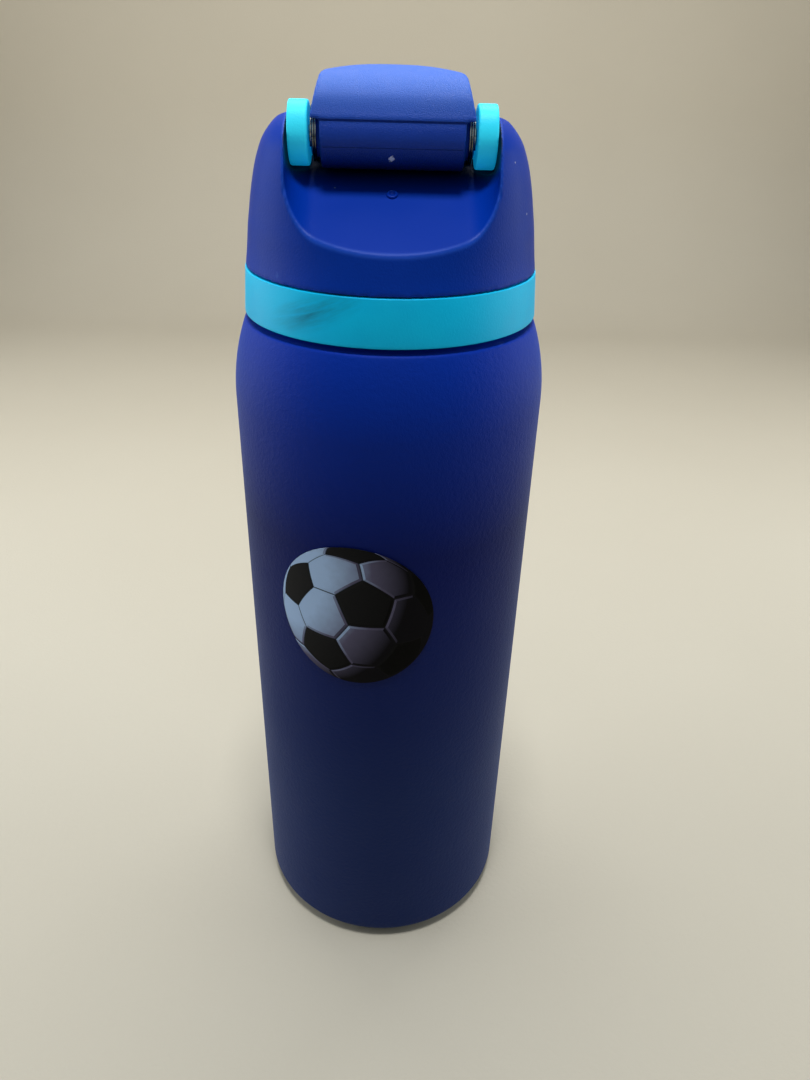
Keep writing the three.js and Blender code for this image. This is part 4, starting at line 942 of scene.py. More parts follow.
VENT = (-GASKET_HALF[0] - 4.2, SPOUT_Y - SPOUT_HALF[1] - 5)


def slot(half_x, half_y, cy, z0, z1, grow=0.0):
    """A bar with round ends, longer across."""
    half_x, half_y = half_x + grow, half_y + grow
    side = half_x - half_y
    outline = arc(side, cy, half_y, -90, 90, 20) + arc(-side, cy, half_y, 90, 270, 20)
    return pushed(outline, "z", z0, z1)


def make_collar():
    plug_in, plug_low = PLUG_RADIUS - 2, MOUTH_TOP - 16
    plug_rows = [(PLUG_RADIUS, plug_low + (CEILING - plug_low) * i / 9, 0) for i in range(1, 9)]
    section = [(0, CEILING, 0), (plug_in, CEILING, 0.4), (plug_in, plug_low, 0.3),
               (PLUG_RADIUS, plug_low, 0.6), *plug_rows, (PLUG_RADIUS, CEILING, 0.2),
               (NECK_RADIUS + 0.5, CEILING, 0.2),
               (NECK_RADIUS + 0.5, BAND_BOTTOM, 0.25), (BAND_RADIUS, BAND_BOTTOM, 0.45),
               (BAND_RADIUS_HIGH, BAND_TOP, 0.25), (UPSTAND_RADIUS, BAND_TOP, 0.2),
               (UPSTAND_RADIUS, UPSTAND_TOP, 0.3), (UPSTAND_RADIUS - 1.8, UPSTAND_TOP, 0.3),
               (UPSTAND_RADIUS - 1.8, DECK_TOP, 0.4), (0, DECK_TOP, 0)]
    collar = scratch(turned(rounded(section), 192))
    joined(collar, ridge(PLUG_RADIUS, MOUTH_RIDGE, THREAD_LOW))
    cut(collar, block(-BUTTON_HALF - 3, BUTTON_HALF + 3, SPOUT_Y, BODY_RADIUS, BAND_TOP, UPSTAND_TOP + 1))
    joined(collar, block(-4, 4, SEAT_FRONT - 2.2, SEAT_FRONT, DECK_TOP - 0.5, BUTTON_HIGH - 2))
    cut(collar, slot(*STUB_HALF, SPOUT_Y, CEILING - 1, DECK_TOP + 1, RUN),
        bar(1.6, "z", CEILING - 1, DECK_TOP + 1, VENT))
    return placed(collar, "cyan_collar", "lid", "lid_collar", RING_CYAN)


sharpened(make_collar(), 35)

# %% [markdown]
# ## Seals and valve
# Three clear silicone parts keep the bottle tight: the ring that the collar presses on the mouth, the gasket
# round the spout's stub, and a little umbrella valve that lets air in. Soft parts have fully rounded edges.

# %% Seals
valve_low, valve_high = box_mm("vent_valve")


def make_seals():
    inner, outer = PLUG_RADIUS + RUN, NECK_RADIUS + 0.1
    ring = rounded([(inner, SEAL_LOW, 0.5), (outer, SEAL_LOW, 0.7), (outer, SEAL_LOW + 1.8, 0.7),
                    (inner, SEAL_LOW + 1.8, 0.5)])
    placed(scratch(turned(ring)), "neck_seal_ring", "seal_ring", "neck_seal", SILICONE)
    low = MOUTH_TOP + 0.5
    gasket = scratch(slot(*GASKET_HALF, SPOUT_Y, low, CEILING - GAP))
    cut(gasket, slot(*STUB_HALF, SPOUT_Y, low - 1, CEILING + 1, GAP))
    placed(moulded(gasket, 0.16, 5), "spout_seal_ring", "lid", "spout_gasket", SILICONE)
    stem, flap, under = 1.3, 4.0, CEILING - GAP
    umbrella = rounded([(0, valve_low.z, 0), (flap, CEILING - 0.7, 0.12), (flap, under, 0.12),
                        (stem, under, 0.3), (stem, DECK_TOP + GAP, 0.1), (stem + 0.8, DECK_TOP + GAP, 0.2),
                        (stem * 0.5, valve_high.z, 0.5), (0, valve_high.z, 0)])
    valve = turned(umbrella, 48)
    bmesh.ops.translate(valve, verts=valve.verts, vec=(*VENT, 0))
    return placed(scratch(valve), "vent_umbrella", "lid", "vent_valve", SILICONE)


make_seals()

# %% [markdown]
# ## Lid form
# The lid is round where it meets the collar and grows a little squarer towards its top, as many moulded caps
# do. It starts as a turned form. Each point is then pushed out along its own direction, by the ratio between
# a circle and a superellipse, more the higher it lies. The button's face is cut from the same form, so the
# two stay flush.

# %% Lid form
LID_HEIGHT = 30.8
LID_SQUARENESS = 0.65
LID_PROFILE = [(0.15, GAP), (0.55, 2.8), (0.95, 5.8), (1.35, 8.8), (1.9, 11.8), (2.45, 14.8), (3.1, 17.8),
               (3.85, 20.8), (4.7, 23.3), (5.55, 25.3), (6.75, 27.1), (8.2, 28.7), (9.8, 29.9), (11.3, 30.6),
               (13.3, LID_HEIGHT)]  # in from the collar's upper edge, and up from it
LID_VOID_TOP = BAND_TOP + 16.8
LID_TOP = BAND_TOP + LID_HEIGHT


def squared_off(bm):
    for vert in bm.verts:
        reach = math.hypot(vert.co.x, vert.co.y)
        if reach < 1e-6:
            continue
        t = min(max((vert.co.z - BAND_TOP) / (HINGE_Z - BAND_TOP), 0), 1)
        power = 2 + LID_SQUARENESS * t * t * (3 - 2 * t)
        push = ((abs(vert.co.x) / reach) ** power + (abs(vert.co.y) / reach) ** power) ** (-1 / power)
        vert.co.x *= push
        vert.co.y *= push
    return bm


def lid_form(inset, top):
    line = [(BAND_RADIUS_HIGH - step - inset, BAND_TOP + rise) for step, rise in LID_PROFILE]
    line = [(r, z) for r, z in flowing(line, 4) if z < top - 0.01]
    if inset > 0:
        line[0] = (line[0][0], line[0][1] - 1)
    return squared_off(turned([(0, line[0][1])] + line + [(line[-1][0], top), (0, top)], 160))


print("the lid form is", round(LID_TOP - BAND_TOP, 1), "mm tall")

# %% [markdown]
# ## Lid shell
# Behind the hinge the lid is scooped out, so the cover and the loop can swing right back. The scoop is a
# trough with round lower corners, pushed along a slope that just touches the round pocket of the hinge.
# Where it leaves the lid's curved wall it draws the deep U seen from behind. Everything is cut from the
# form, and the skin is then laid afresh, so the long rim of the U gets the soft edge of a moulding.

# %% Lid shell
BARREL_RADIUS = 6.2
POCKET_RADIUS = BARREL_RADIUS + RUN
BAY_HALF = BAND_RADIUS_HIGH - 11.9
SCOOP_CORNER = 6.0
SCOOP_LIP = (0.8 - BAND_RADIUS_HIGH, BAND_TOP + 7.5)
SCOOP_REACH = math.hypot(HINGE_Y - SCOOP_LIP[0], HINGE_Z - SCOOP_LIP[1])
TO_HINGE = math.atan2(HINGE_Z - SCOOP_LIP[1], HINGE_Y - SCOOP_LIP[0])
SCOOP_SLOPE = TO_HINGE - math.asin(POCKET_RADIUS / SCOOP_REACH)
LOOP_HALF_THICKNESS = 2.9
DECK_LEVEL = -LOOP_HALF_THICKNESS - RUN - 0.1
PIN_HALF = BAY_HALF + 1.2
AXIS_AHEAD = -HINGE_Y / math.cos(LEAN)  # the bottle's axis, as met along the leaning frame
COVER_NOSE = AXIS_AHEAD + BAND_RADIUS_HIGH - 5.7
CATCH_IN = COVER_NOSE - 1.9 - 0.7  # the cover's catch rib, from the hinge line
HOOK_HALF = 5.0
HOOK_TOP = BUTTON_HIGH + 7.2
HOOK_FRONT = HINGE_Y + math.sqrt((CATCH_IN - RUN - 0.4) ** 2 - (HINGE_Z - HOOK_TOP + 1) ** 2)
HOOK_BACK = HOOK_FRONT - 2.8
BUTTON_TRAVEL = 2
FLOOR_WALL = 2.2


def scoop(grow=0.0):
    half, corner, height = BAY_HALF + grow, SCOOP_CORNER + grow, 60
    outline = arc(half - corner, corner - grow, corner, -90, 0, 18) + [(half, height), (-half, height)]
    outline += arc(-half + corner, corner - grow, corner, 180, 270, 18)
    bm = pushed(outline, "y", -20, math.sqrt(SCOOP_REACH ** 2 - POCKET_RADIUS ** 2))
    return moved_by(bm, Matrix.Translation((0, *SCOOP_LIP)) @ Matrix.Rotation(SCOOP_SLOPE, 4, "X"))


def bay(grow=0.0):
    return moved_by(block(-BAY_HALF - grow, BAY_HALF + grow, -30, 60, DECK_LEVEL - grow, 60), leaning)


def hinge_pocket(grow=0.0):
    return bar(POCKET_RADIUS + grow, "x", -BAY_HALF - grow, BAY_HALF + grow, (HINGE_Y, HINGE_Z), 96)


def lid_reach(point):
    """How far outside the lid's skin a point lies, below zero inside it."""
    heights = [BAND_TOP + rise for _, rise in LID_PROFILE]
    k = max(min(sum(z <= point.z for z in heights) - 1, len(heights) - 2), 0)
    share = (point.z - heights[k]) / (heights[k + 1] - heights[k])
    inset = LID_PROFILE[k][0] + (LID_PROFILE[k + 1][0] - LID_PROFILE[k][0]) * share
    t = min(max((point.z - BAND_TOP) / (HINGE_Z - BAND_TOP), 0), 1)
    power = 2 + LID_SQUARENESS * t * t * (3 - 2 * t)
    return (abs(point.x) ** power + abs(point.y) ** power) ** (1 / power) - (BAND_RADIUS_HIGH - inset)


def mark_scoop(lid):
    """Stores on the lid what is polished, what is in the hinge's shadow and what is near the scoop's rim."""
    polished = lid.data.attributes.new("polished", "FLOAT", "POINT")
    shaded = lid.data.attributes.new("shaded", "FLOAT", "POINT")
    # rim marks where a highlight is painted along the scoop's edge; shaded marks where a shadow is painted
    # under the barrel
    rim = lid.data.attributes.new("rim", "FLOAT", "POINT")
    down = (Matrix.Translation((0, *SCOOP_LIP)) @ Matrix.Rotation(SCOOP_SLOPE, 4, "X")).inverted()
    for i, vert in enumerate(lid.data.vertices):
        local = down @ vert.co
        side = max(abs(local.x) - BAY_HALF, 0)
        corner_x, corner_z = abs(local.x) - BAY_HALF + SCOOP_CORNER, SCOOP_CORNER - local.z
        outside = math.hypot(corner_x, corner_z) - SCOOP_CORNER if corner_x > 0 and corner_z > 0 else -local.z
        past = max(outside, side)
        skin = lid_reach(vert.co) if vert.co.y < 0 else -9
        reach = math.hypot(vert.co.y - HINGE_Y, vert.co.z - HINGE_Z) - BARREL_RADIUS
        shadow = min(max(1 - (reach - 0.6) / 3.4, 0), 1) * (abs(vert.co.x) < BAY_HALF + 0.3)
        shaded.data[i].value = shadow
        polished.data[i].value = max(1 - max(past, 0) / 0.5, 0) * (vert.co.y < HINGE_Y) * (1 - shadow)
        rim.data[i].value = max(1 - abs(past - 0.1) / 0.75, 0) * max(1 - abs(skin + 0.1) / 0.75, 0)


def make_lid():
    lid = scratch(lid_form(0, LID_TOP))
    cheeks = moved_by(block(-60, 60, -30, 60, (LID_TOP - HINGE_Z) * math.cos(LEAN), 60), leaning)
    cut(lid, scoop(), bay(), hinge_pocket(), cheeks)
    void = scratch(lid_form(2.4, LID_VOID_TOP))
    cut(void, scoop(FLOOR_WALL), bay(FLOOR_WALL), hinge_pocket(FLOOR_WALL))
    room = bmesh.new()
    room.from_mesh(void.data)
    bpy.data.objects.remove(void)
    cut(lid, room, slot(*SPOUT_HALF, SPOUT_Y, BAND_TOP, LID_TOP, RUN),
        block(-BUTTON_HALF - GAP, BUTTON_HALF + GAP, SEAT_FRONT, BODY_RADIUS, BUTTON_LOW - GAP,
              BUTTON_HIGH + GAP),
        block(-HOOK_HALF - RUN, HOOK_HALF + RUN, HOOK_BACK - BUTTON_TRAVEL - RUN, HOOK_FRONT + RUN,
              BUTTON_HIGH - 1, LID_TOP),
        bar(1.8, "x", -PIN_HALF - GAP, PIN_HALF + GAP, (HINGE_Y, HINGE_Z)))
    moulded(lid, 0.42, 5)
    dot_y = HINGE_Y - 4.3
    dot_z = SCOOP_LIP[1] + (dot_y - SCOOP_LIP[0]) * math.tan(SCOOP_SLOPE)
    dot = turned(rounded([(0, -0.6, 0), (1.25, -0.6, 0), (1.1, 0.35, 0.2), (0.8, 0.5, 0.15), (0.5, 0.1, 0.12),
                          (0, 0.06, 0)]), 48)
    joined(lid, moved_by(dot, Matrix.Translation((0, dot_y, dot_z)) @ Matrix.Rotation(SCOOP_SLOPE, 4, "X")))
    mark_scoop(lid)
    return placed(lid, "lid_moulding", "lid", "lid_shell", LID_BLUE)


sharpened(make_lid(), 50)

# %% [markdown]
# ## Flip cover
# The cover is where three outlines meet: its side view, its front view and its plan. Each is pushed through
# the other two and only what they share is kept, the way a shape is found in a block of wood. A smaller copy
# hollows it, and the hinge barrel joins it. A fine groove marks where the barrel meets the cover's back
# plate.

# %% Flip cover
EAR_OUT = BAY_HALF - GAP
EAR_IN = EAR_OUT - 3.9
BARREL_HALF = EAR_IN - 2.3
COVER_HALF = EAR_IN - RUN
COVER_TOP_HALF = COVER_HALF - 2.6
COVER_BACK = (-BARREL_RADIUS - 0.13, 1.93)
COVER_FRONT = BAND_RADIUS_HIGH - 5.7
COVER_BOTTOM = -2.4
COVER_CROWN = 13.6
CROWN_BOW = 1.9  # how far the crown falls from its middle to its sides
COVER_WALL = 1.9
COVER_LINE = [COVER_BACK, (-4.7, 6.4), (-1.2, 10.2), (4.2, 12.8), (COVER_NOSE - 26.3, 13.3),
              (COVER_NOSE - 14.3, 11.1), (COVER_NOSE - 5.3, 6.6), (COVER_NOSE, 2.2)]


def cover_side(inset):
    points = flowing(COVER_LINE, 8)
    nose = COVER_NOSE - inset
    if inset:
        moved = []
        for i, point in enumerate(points):
            along = (Vector(points[min(i + 1, len(points) - 1)]) - Vector(points[max(i - 1, 0)])).normalized()
            moved.append((min(point[0] + along.y * inset, nose), point[1] - along.x * inset))
        points = moved
    start = BARREL_RADIUS - 0.1 if inset else BARREL_RADIUS + RUN
    kept = [p for p in points if p[0] > start] if inset else points
    foot = COVER_BOTTOM - 5 if inset else COVER_BOTTOM
    return kept + [(nose, foot), (start, foot), (start, kept[0][1] - 0.8 if inset else COVER_BACK[1])]


def cover_form(inset):
    half, top_half, crown = COVER_HALF - inset, COVER_TOP_HALF - inset, COVER_CROWN - 0.7 - inset
    form = scratch(pushed(cover_side(inset), "x", -half, half))
    right = [(half, COVER_BOTTOM - 6), (half, COVER_BACK[1])]
    right += arc(top_half - 0.9, crown - 3.7, 2.0, 10, 72, 10)
    right += [(top_half * k, crown - CROWN_BOW * k * k) for k in (0.8, 0.6, 0.4, 0.2, 0.0)]
    section = right + [(-x, z) for x, z in right[-2::-1]]
    radius = COVER_FRONT - inset
    turn = math.degrees(math.acos(half / radius))
    plan = [(half, -12)] + arc(0, AXIS_AHEAD, radius, turn, 180 - turn, 40) + [(-half, -12)]
    combined(form, pushed(section, "y", -12, 60), "INTERSECT")
    combined(form, pushed(plan, "z", COVER_BOTTOM - 6, 16), "INTERSECT")
    bm = bmesh.new()
    bm.from_mesh(form.data)
    bpy.data.objects.remove(form)
    return bm


def make_cover():
    cover = scratch(cover_form(0))
    room = BARREL_RADIUS - 0.5
    cut(cover, cover_form(COVER_WALL), bar(room, "x", -EAR_OUT, -BARREL_HALF, (0, 0)),
        bar(room, "x", BARREL_HALF, EAR_OUT, (0, 0)))
    joined(cover, bar(BARREL_RADIUS, "x", -BARREL_HALF, BARREL_HALF, (0, 0), 96),
           bar(4.2, "x", -EAR_IN + RUN, EAR_IN - RUN, (0, 0)),
           block(-4.5, 4.5, CATCH_IN, CATCH_IN + 1.2, COVER_BOTTOM, COVER_BOTTOM + 1.2))
    cut(cover, bar(1.8, "x", -EAR_OUT, EAR_OUT, (0, 0)))
    moulded(cover, 0.3, 6)
    groove = block(-BARREL_HALF - 0.1, BARREL_HALF + 0.1, COVER_BACK[0] - 1, COVER_BACK[0] + 0.6,
                   COVER_BACK[1] - 0.5, COVER_BACK[1] - 0.1)
    parting = block(-BARREL_HALF + 0.5, BARREL_HALF - 0.5, -7, -5.34, -3.0, -2.82)
    cut(cover, groove, parting)
    moved = bmesh.new()
    moved.from_mesh(cover.data)
    moved_by(moved, leaning).to_mesh(cover.data)
    moved.free()
    return placed(cover, "cover_moulding", "cover", "flip_cover", COVER_BLUE)


sharpened(make_cover(), 50)

# %% [markdown]
# ## Inside the cover
# A soft pad in the cover closes the spout, and a thin bright lining holds the pad. Nobody sees them until the
# cover is open, but then they face the child, so they are finished like the rest.

# %% Pad and lining
def make_cover_inside():
    low = 4.3 + GAP
    ahead = (SPOUT_Y - HINGE_Y) / math.cos(LEAN) - 4.3 * math.tan(LEAN)
    pad = scratch(moved_by(slot(SPOUT_HALF[0] - 0.9, SPOUT_HALF[1] - 1.0, ahead, low, low + 2.8), leaning))
    placed(moulded(pad, 0.2, 8), "cover_pad", "cover", "cover_seal", SILICONE)
    half, above = COVER_HALF - 4.6, low + 2.8 + GAP
    plate = [(x, y, 2.0) for x, y in ((-half, 9.6), (half, 9.6), (half, COVER_NOSE - 15.9),
                                      (-half, COVER_NOSE - 15.9))]
    lining = scratch(moved_by(pushed(rounded(plate, 8), "z", above, above + 1.5), leaning))
    return placed(moulded(lining, 0.2, 4), "cover_liner_plate", "cover", "cover_lining",
                  GLOWING_LOOP_CYAN)


make_cover_inside()

# %% [markdown]
# ## Carry loop
# The loop is a flat strap bent into a U, with a round ear at each end for the hinge pin. Its outline runs
# down one arm, round the front and back up. The ears are round bars joined to it, and the whole loop is then
# skinned.

# %% Carry loop
EAR_RADIUS = 5.85


def make_loop():
    front_out, front_in, corner_out, corner_in = BAND_RADIUS_HIGH - 0.8, BAND_RADIUS_HIGH - 4.8, 5.0, 3.0

    def half_outline(side, front, corner):
        turn, centre = front - corner, side - corner
        angle = math.degrees(math.acos(centre / turn))
        ahead = AXIS_AHEAD + math.sqrt(turn ** 2 - centre ** 2)
        return ([(side, 0)] + arc(centre, ahead, corner, 0, angle, 10)
                + arc(0, AXIS_AHEAD, front, angle, 90, 16)[1:])

    outer, inner = half_outline(EAR_OUT, front_out, corner_out), half_outline(EAR_IN, front_in, corner_in)
    outline = outer + [(-x, y) for x, y in outer[-2::-1]] + [(-x, y) for x, y in inner] + inner[-2::-1]
    loop = scratch(pushed(outline, "z", -LOOP_HALF_THICKNESS, LOOP_HALF_THICKNESS))
    joined(loop, bar(EAR_RADIUS, "x", -EAR_OUT, -EAR_IN, (0, 0), 96),
           bar(EAR_RADIUS, "x", EAR_IN, EAR_OUT, (0, 0), 96))
    cut(loop, bar(1.8, "x", -EAR_OUT - 1, EAR_OUT + 1, (0, 0)))
    moulded(loop, 0.26, 8)
    loop.data.transform(leaning)
    return placed(loop, "loop_moulding", "loop", "carry_loop", GLOWING_LOOP_CYAN)


make_loop()

# %% [markdown]
# ## Springs and pin
# A torsion spring sits at each end of the barrel and throws the cover open. A wire coil is a small circle
# swept round with the spin operator, with a straight leg pulled out at each end. The button has a coil of
# its own.

# %% Springs and pin
def coil(wire, radius, pitch, turns, leg, start):
    """A wire coil along X. Its first point is at the angle start, measured from Y towards Z."""
    along = Vector((0, -math.sin(start), math.cos(start)))
    centre = Vector((0, radius * math.cos(start), radius * math.sin(start)))
    bm = bmesh.new()
    face_turn = Vector((0, 0, 1)).rotation_difference(along).to_matrix().to_4x4()
    bmesh.ops.create_circle(bm, cap_ends=True, segments=12, radius=wire / 2,
                            matrix=Matrix.Translation(centre - along * leg) @ face_turn)
    bm.faces.ensure_lookup_table()
    last = bm.faces[:]

    def pulled(vector):
        made = bmesh.ops.extrude_face_region(bm, geom=last)["geom"]
        bmesh.ops.translate(bm, verts=[g for g in made if isinstance(g, bmesh.types.BMVert)], vec=vector)
        return [g for g in made if isinstance(g, bmesh.types.BMFace)]

    if leg:
        last = pulled(along * leg)
    steps = round(turns * 40)
    geom = last + [e for f in last for e in f.edges] + [v for f in last for v in f.verts]
    spun = bmesh.ops.spin(bm, geom=geom, cent=(0, 0, 0), axis=(1, 0, 0), angle=turns * math.tau, steps=steps,
                          dvec=(pitch * turns / steps, 0, 0))
    last = [g for g in spun["geom_last"] if isinstance(g, bmesh.types.BMFace)]
    if leg:
        end = start + turns * math.tau
        last = pulled(Vector((0, -math.sin(end), math.cos(end))) * leg)
    bmesh.ops.remove_doubles(bm, verts=bm.verts, dist=1e-5)
    bmesh.ops.recalc_face_normals(bm, faces=bm.faces)
    return bm


def make_springs():
    for name, side in (("left", -1), ("right", 1)):
        wire = coil(0.42, 4.85, side * 0.45, 2.75, 2.0, -math.pi / 2)
        start = side * (BARREL_HALF + GAP + 0.21)
        bmesh.ops.translate(wire, verts=wire.verts, vec=(start, HINGE_Y, HINGE_Z))
        placed(scratch(wire), "spring_" + name, "lid", "hinge_spring_" + name, HINGE_WIRE)
    back, front = SEAT_FRONT + GAP, BUTTON_BACK - 0.2 - GAP
    wire = coil(0.5, 2.4, (front - back - 0.5) / 4.5, 4.5, 0.0, 0.0)
    moved_by(wire, Matrix.Translation((0, back + 0.25, (BUTTON_LOW + BUTTON_HIGH) / 2 - 0.6))
             @ Matrix.Rotation(math.pi / 2, 4, "Z"))
    placed(scratch(wire), "spring_button", "lid", "button_spring", WIRE)
    pin = bar(1.5, "x", -PIN_HALF, PIN_HALF, (HINGE_Y, HINGE_Z), 48, 0.3)
    return sharpened(placed(scratch(pin), "steel_pin", "lid", "hinge_pin", PIN_STEEL_DARK_FOR_SHADE))


make_springs()

# %% [markdown]
# ## Spout, straw and button
# The spout has two ways to drink: a wide one for gulps and a small one that feeds the straw. The push button
# has the lid's own curve on its face and a sprung hook behind, which catches the cover.

# %% Spout, straw and button
straw_low, straw_high = box_mm("straw")
SIP_Y = (straw_low.y + straw_high.y) / 2


def make_spout():
    top, stub_low = HINGE_Z + 10, MOUTH_TOP + 0.5
    spout = scratch(slot(*SPOUT_HALF, SPOUT_Y, DECK_TOP + GAP, top))
    joined(spout, slot(*STUB_HALF, SPOUT_Y, stub_low, DECK_TOP + 1),
           bar(3.0, "z", stub_low - 8.5, stub_low + 1, (0, SIP_Y)))
    above = moved_by(block(-30, 30, -20, 60, 4.3, 60), leaning)
    swig_y = SPOUT_Y - SPOUT_HALF[1] + 1.4 + 3.2
    cut(spout, above, slot(7.0, 3.2, swig_y, stub_low - 1, top + 1),
        bar(2.3, "z", stub_low - 10, top + 1, (0, SIP_Y)))
    return placed(moulded(spout, 0.26, 6), "spout_moulding", "lid", "spout", SPOUT_BLUE)


def make_straw():
    outer, bore = straw_high.x, straw_high.x - 1
    tube = turned(rounded([(bore, straw_low.z, 0.2), (outer, straw_low.z, 0.2), (outer, straw_high.z, 0.3),
                           (bore, straw_high.z, 0.3)]), 64)
    bmesh.ops.translate(tube, verts=tube.verts, vec=(0, SIP_Y, 0))
    straw = scratch(tube)
    wedge = moved_by(block(-10, 10, -10, 10, -4, 4), Matrix.Translation((0, SIP_Y, straw_low.z - 3.4))
                     @ Matrix.Rotation(math.radians(30), 4, "X"))
    cut(straw, wedge)
    return sharpened(placed(straw, "straw_tube", "drinking_straw", "straw", STRAW_CLEAR))


def make_button():
    button = scratch(lid_form(-0.4, LID_VOID_TOP))
    face = block(-BUTTON_HALF, BUTTON_HALF, BUTTON_BACK, BODY_RADIUS, BUTTON_LOW, BUTTON_HIGH)
    combined(button, face, "INTERSECT")
    barb = [(HOOK_BACK, HOOK_TOP - 2), (HOOK_FRONT, HOOK_TOP - 1.6), (HOOK_FRONT, HOOK_TOP - 1),
            (HOOK_BACK + 1.6, HOOK_TOP), (HOOK_BACK, HOOK_TOP)]
    flange_back = BUTTON_BACK - 0.2
    joined(button,
           block(-BUTTON_HALF - 1.4, BUTTON_HALF + 1.4, flange_back, flange_back + 1.4, BUTTON_LOW - 1,
                 BUTTON_HIGH - 2),
           block(-HOOK_HALF, HOOK_HALF, HOOK_BACK, BUTTON_BACK + 1, BUTTON_HIGH - 2.4, BUTTON_HIGH),
           block(-HOOK_HALF, HOOK_HALF, HOOK_BACK, HOOK_BACK + 1.6, BUTTON_HIGH - 1, HOOK_TOP),
           pushed(barb, "x", -HOOK_HALF, HOOK_HALF))
    dish = bar(26.0, "x", -30, 30, (BAND_RADIUS_HIGH + 24.6, (BUTTON_LOW + BUTTON_HIGH) / 2), 160)
    hollow = scratch(dish)
    combined(hollow, block(-BUTTON_HALF + 1.6, BUTTON_HALF - 1.6, BUTTON_BACK, 60, BUTTON_LOW + 1.6,
                           BUTTON_HIGH - 1.6), "INTERSECT")
    thumb = bmesh.new()
    thumb.from_mesh(hollow.data)
    bpy.data.objects.remove(hollow)
    cut(button, thumb)
    return placed(moulded(button, 0.22, 6), "button_moulding", "button", "push_button",
                  GLOWING_LOOP_CYAN)


make_spout()
make_straw()
make_button()

# %% [markdown]
# ## Printed ball
# A football is a truncated icosahedron: twenty six-sided panels and twelve five-sided ones. Blender's ico
# sphere at one subdivision is the plain icosahedron, and bevelling its corners cuts the five-sided panels.
# Each panel is inset twice, once for the seam and once for the padding's rounded edge. The ball is then
# blown up to a true sphere, halved, pressed flat like a picture and wrapped on the bottle's wall. What the
# print shows is stored on the mesh: which panel is dark, where the seams run and which way the padding
# faces.

# %% Ball shape
BALL_RADIUS = 19.0
BALL_HEIGHT = SHOULDER_START - 43.2
BALL_AROUND = -7.8
BALL_FACING = Vector((0.175, 0.228, 1)).normalized()  # where the middle dark panel looks
BALL_SPIN = math.radians(92.5)  # direction of the next dark panel round it
PANEL_SHARE = 37.0  # per cent of an edge cut off at each corner
FILM_LIFT = 0.2
FILM = 0.15
SEAM_HALF = 0.008  # of the ball's radius, like the next two
PADDING_EDGE = 0.028
PADDING_BULGE = 0.4


def make_ball_sphere():
    bm = bmesh.new()
    bmesh.ops.create_icosphere(bm, subdivisions=1, radius=1)
    top = max(bm.verts, key=lambda v: v.co.z)
    beside = top.link_edges[0].other_vert(top).co
    turn = Matrix.Rotation(BALL_SPIN - math.atan2(beside.y, beside.x), 4, "Z")
    tilt = Vector((0, 0, 1)).rotation_difference(BALL_FACING).to_matrix().to_4x4()
    bmesh.ops.transform(bm, matrix=tilt @ turn, verts=bm.verts)
    bmesh.ops.bevel(bm, geom=bm.verts[:], affect="VERTICES", offset_type="PERCENT", offset=PANEL_SHARE,
                    segments=1, profile=0.5, material=-1)
    dark = bm.faces.layers.float.new("dark")
    seam = bm.faces.layers.float.new("seam")
    for face in bm.faces:
        face[dark] = float(len(face.verts) == 5)
    panels = bm.faces[:]
    edge = bmesh.ops.inset_individual(bm, faces=panels, thickness=SEAM_HALF, use_even_offset=True)["faces"]
    for face in edge:
        face[seam] = 1.0
    rim = bmesh.ops.inset_individual(bm, faces=panels, thickness=PADDING_EDGE, use_even_offset=True)["faces"]
    for face in rim:
        face[seam] = 0.5
    return bm, dark, seam


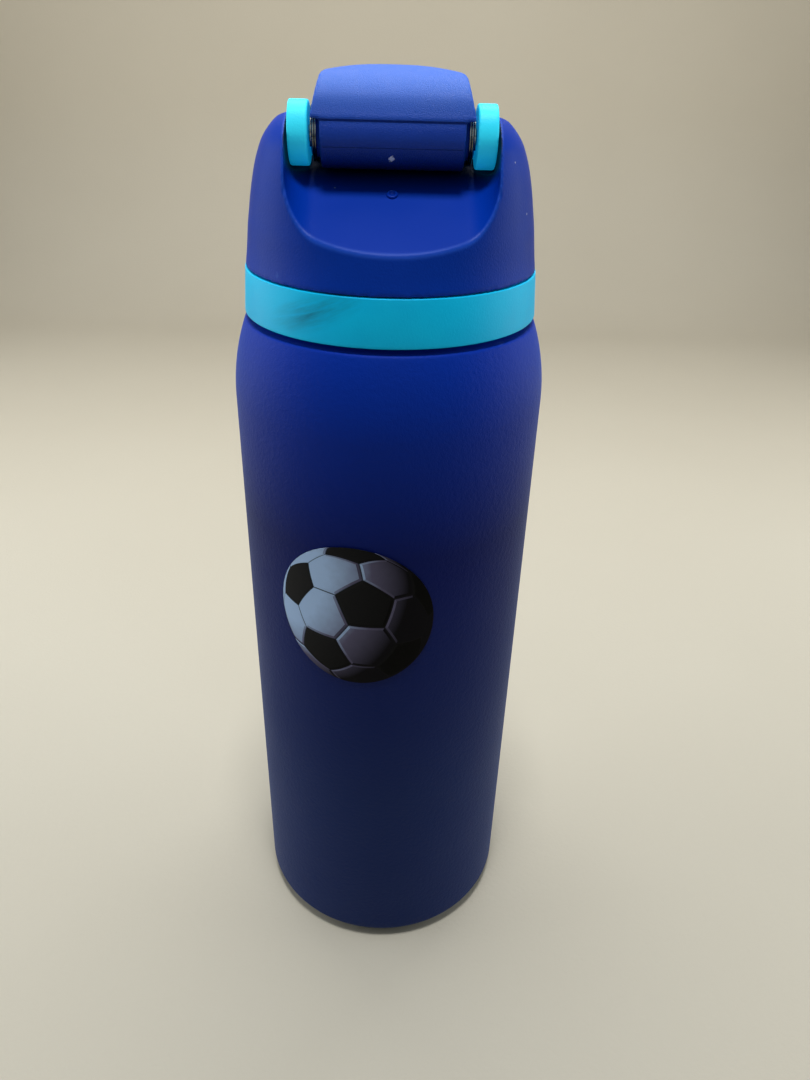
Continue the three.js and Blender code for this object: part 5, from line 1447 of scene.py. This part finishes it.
def make_ball():
    bm, dark, seam = make_ball_sphere()
    facing = bm.loops.layers.float_vector.new("padding")
    lean_out = {}
    for face in bm.faces:
        if 0.4 < face[seam] < 0.6:
            middle = face.calc_center_median()
            panel = next(f for e in face.edges for f in e.link_faces if f[seam] < 0.1)
            lean_out[face.index] = (middle - panel.calc_center_median()).normalized() * PADDING_BULGE
    bm.faces.index_update()
    lean = bm.faces.layers.float_vector.new("lean")
    for face in bm.faces:
        face[lean] = lean_out.get(face.index, Vector())
    bmesh.ops.triangulate(bm, faces=[f for f in bm.faces if len(f.verts) > 4])
    bmesh.ops.subdivide_edges(bm, edges=bm.edges[:], cuts=5, use_grid_fill=True)
    for vert in bm.verts:
        vert.co.normalize()
    bmesh.ops.bisect_plane(bm, geom=bm.verts[:] + bm.edges[:] + bm.faces[:], plane_co=(0, 0, 0.02),
                           plane_no=(0, 0, 1), clear_inner=True)
    for face in bm.faces:
        for loop in face.loops:
            loop[facing] = (loop.vert.co + face[lean]).normalized()
    for vert in bm.verts:
        around = (BALL_AROUND + vert.co.x * BALL_RADIUS) / BODY_RADIUS
        reach = BODY_RADIUS + FILM_LIFT + FILM
        vert.co = (reach * math.sin(around), -reach * math.cos(around), BALL_HEIGHT + vert.co.y * BALL_RADIUS)
    back = bmesh.ops.extrude_face_region(bm, geom=bm.faces[:])["geom"]
    share = 1 - FILM / (BODY_RADIUS + FILM_LIFT + FILM)
    bmesh.ops.scale(bm, verts=[g for g in back if isinstance(g, bmesh.types.BMVert)], vec=(share, share, 1))
    bmesh.ops.recalc_face_normals(bm, faces=bm.faces)
    return bm


# %% [markdown]
# ## Print of the ball
# The print is a picture of a ball under a lamp at its upper left. The shader works that picture out: the
# stored direction of the padding, compared with the lamp's direction, gives a lightness, and each kind of
# panel has its own pair of inks. A clear varnish over the print keeps a soft gloss.

# %% Ball print
LAMP_SIDE = Vector((-0.78, 0.34, 0.42)).normalized()


def make_print():
    material, tree, shader = finish("ball_print", IOR=1.14)
    padding = node(tree, "Attribute", {"attribute_name": "padding"}).outputs["Vector"]
    dark = node(tree, "Attribute", {"attribute_name": "dark"}).outputs["Fac"]
    seam = node(tree, "Attribute", {"attribute_name": "seam"}).outputs["Fac"]
    light = node(tree, "VectorMath", {"operation": "DOT_PRODUCT"}, i0=padding,
                 i1=tuple(LAMP_SIDE)).outputs["Value"]
    lit = spread(tree, light, -0.3, 1.0)
    grain = effect(tree, "grain", Scale=2500.0, Drift_scale=600.0)
    lit = maths(tree, "MULTIPLY", lit, spread(tree, grain.outputs["Drift"], 0.2, 0.8, 0.97, 1.03))
    dusk = mixed(tree, spread(tree, lit, 0.12, 0.55), ink(8, 7, 12), ink(92, 88, 112))
    pale = mixed(tree, spread(tree, lit, 0.5, 0.85), dusk, ink(164, 190, 226))
    black = mixed(tree, lit, ink(1, 1, 1), ink(30, 30, 32))
    shade = mixed(tree, dark, pale, black)
    in_seam = maths(tree, "GREATER_THAN", seam, 0.75)
    shade = mixed(tree, maths(tree, "MULTIPLY", in_seam, 0.85), shade, ink(14, 13, 16))
    tree.links.new(shade, shader.inputs["Base Color"])
    tree.links.new(spread(tree, grain.outputs["Drift"], 0.3, 0.7, 0.34, 0.46), shader.inputs["Roughness"])
    bump(tree, shader, grain.outputs["Height"], 0.00002)
    return material


placed(scratch(make_ball()), "ball_print_film", "bottle", "ball_decal", make_print())
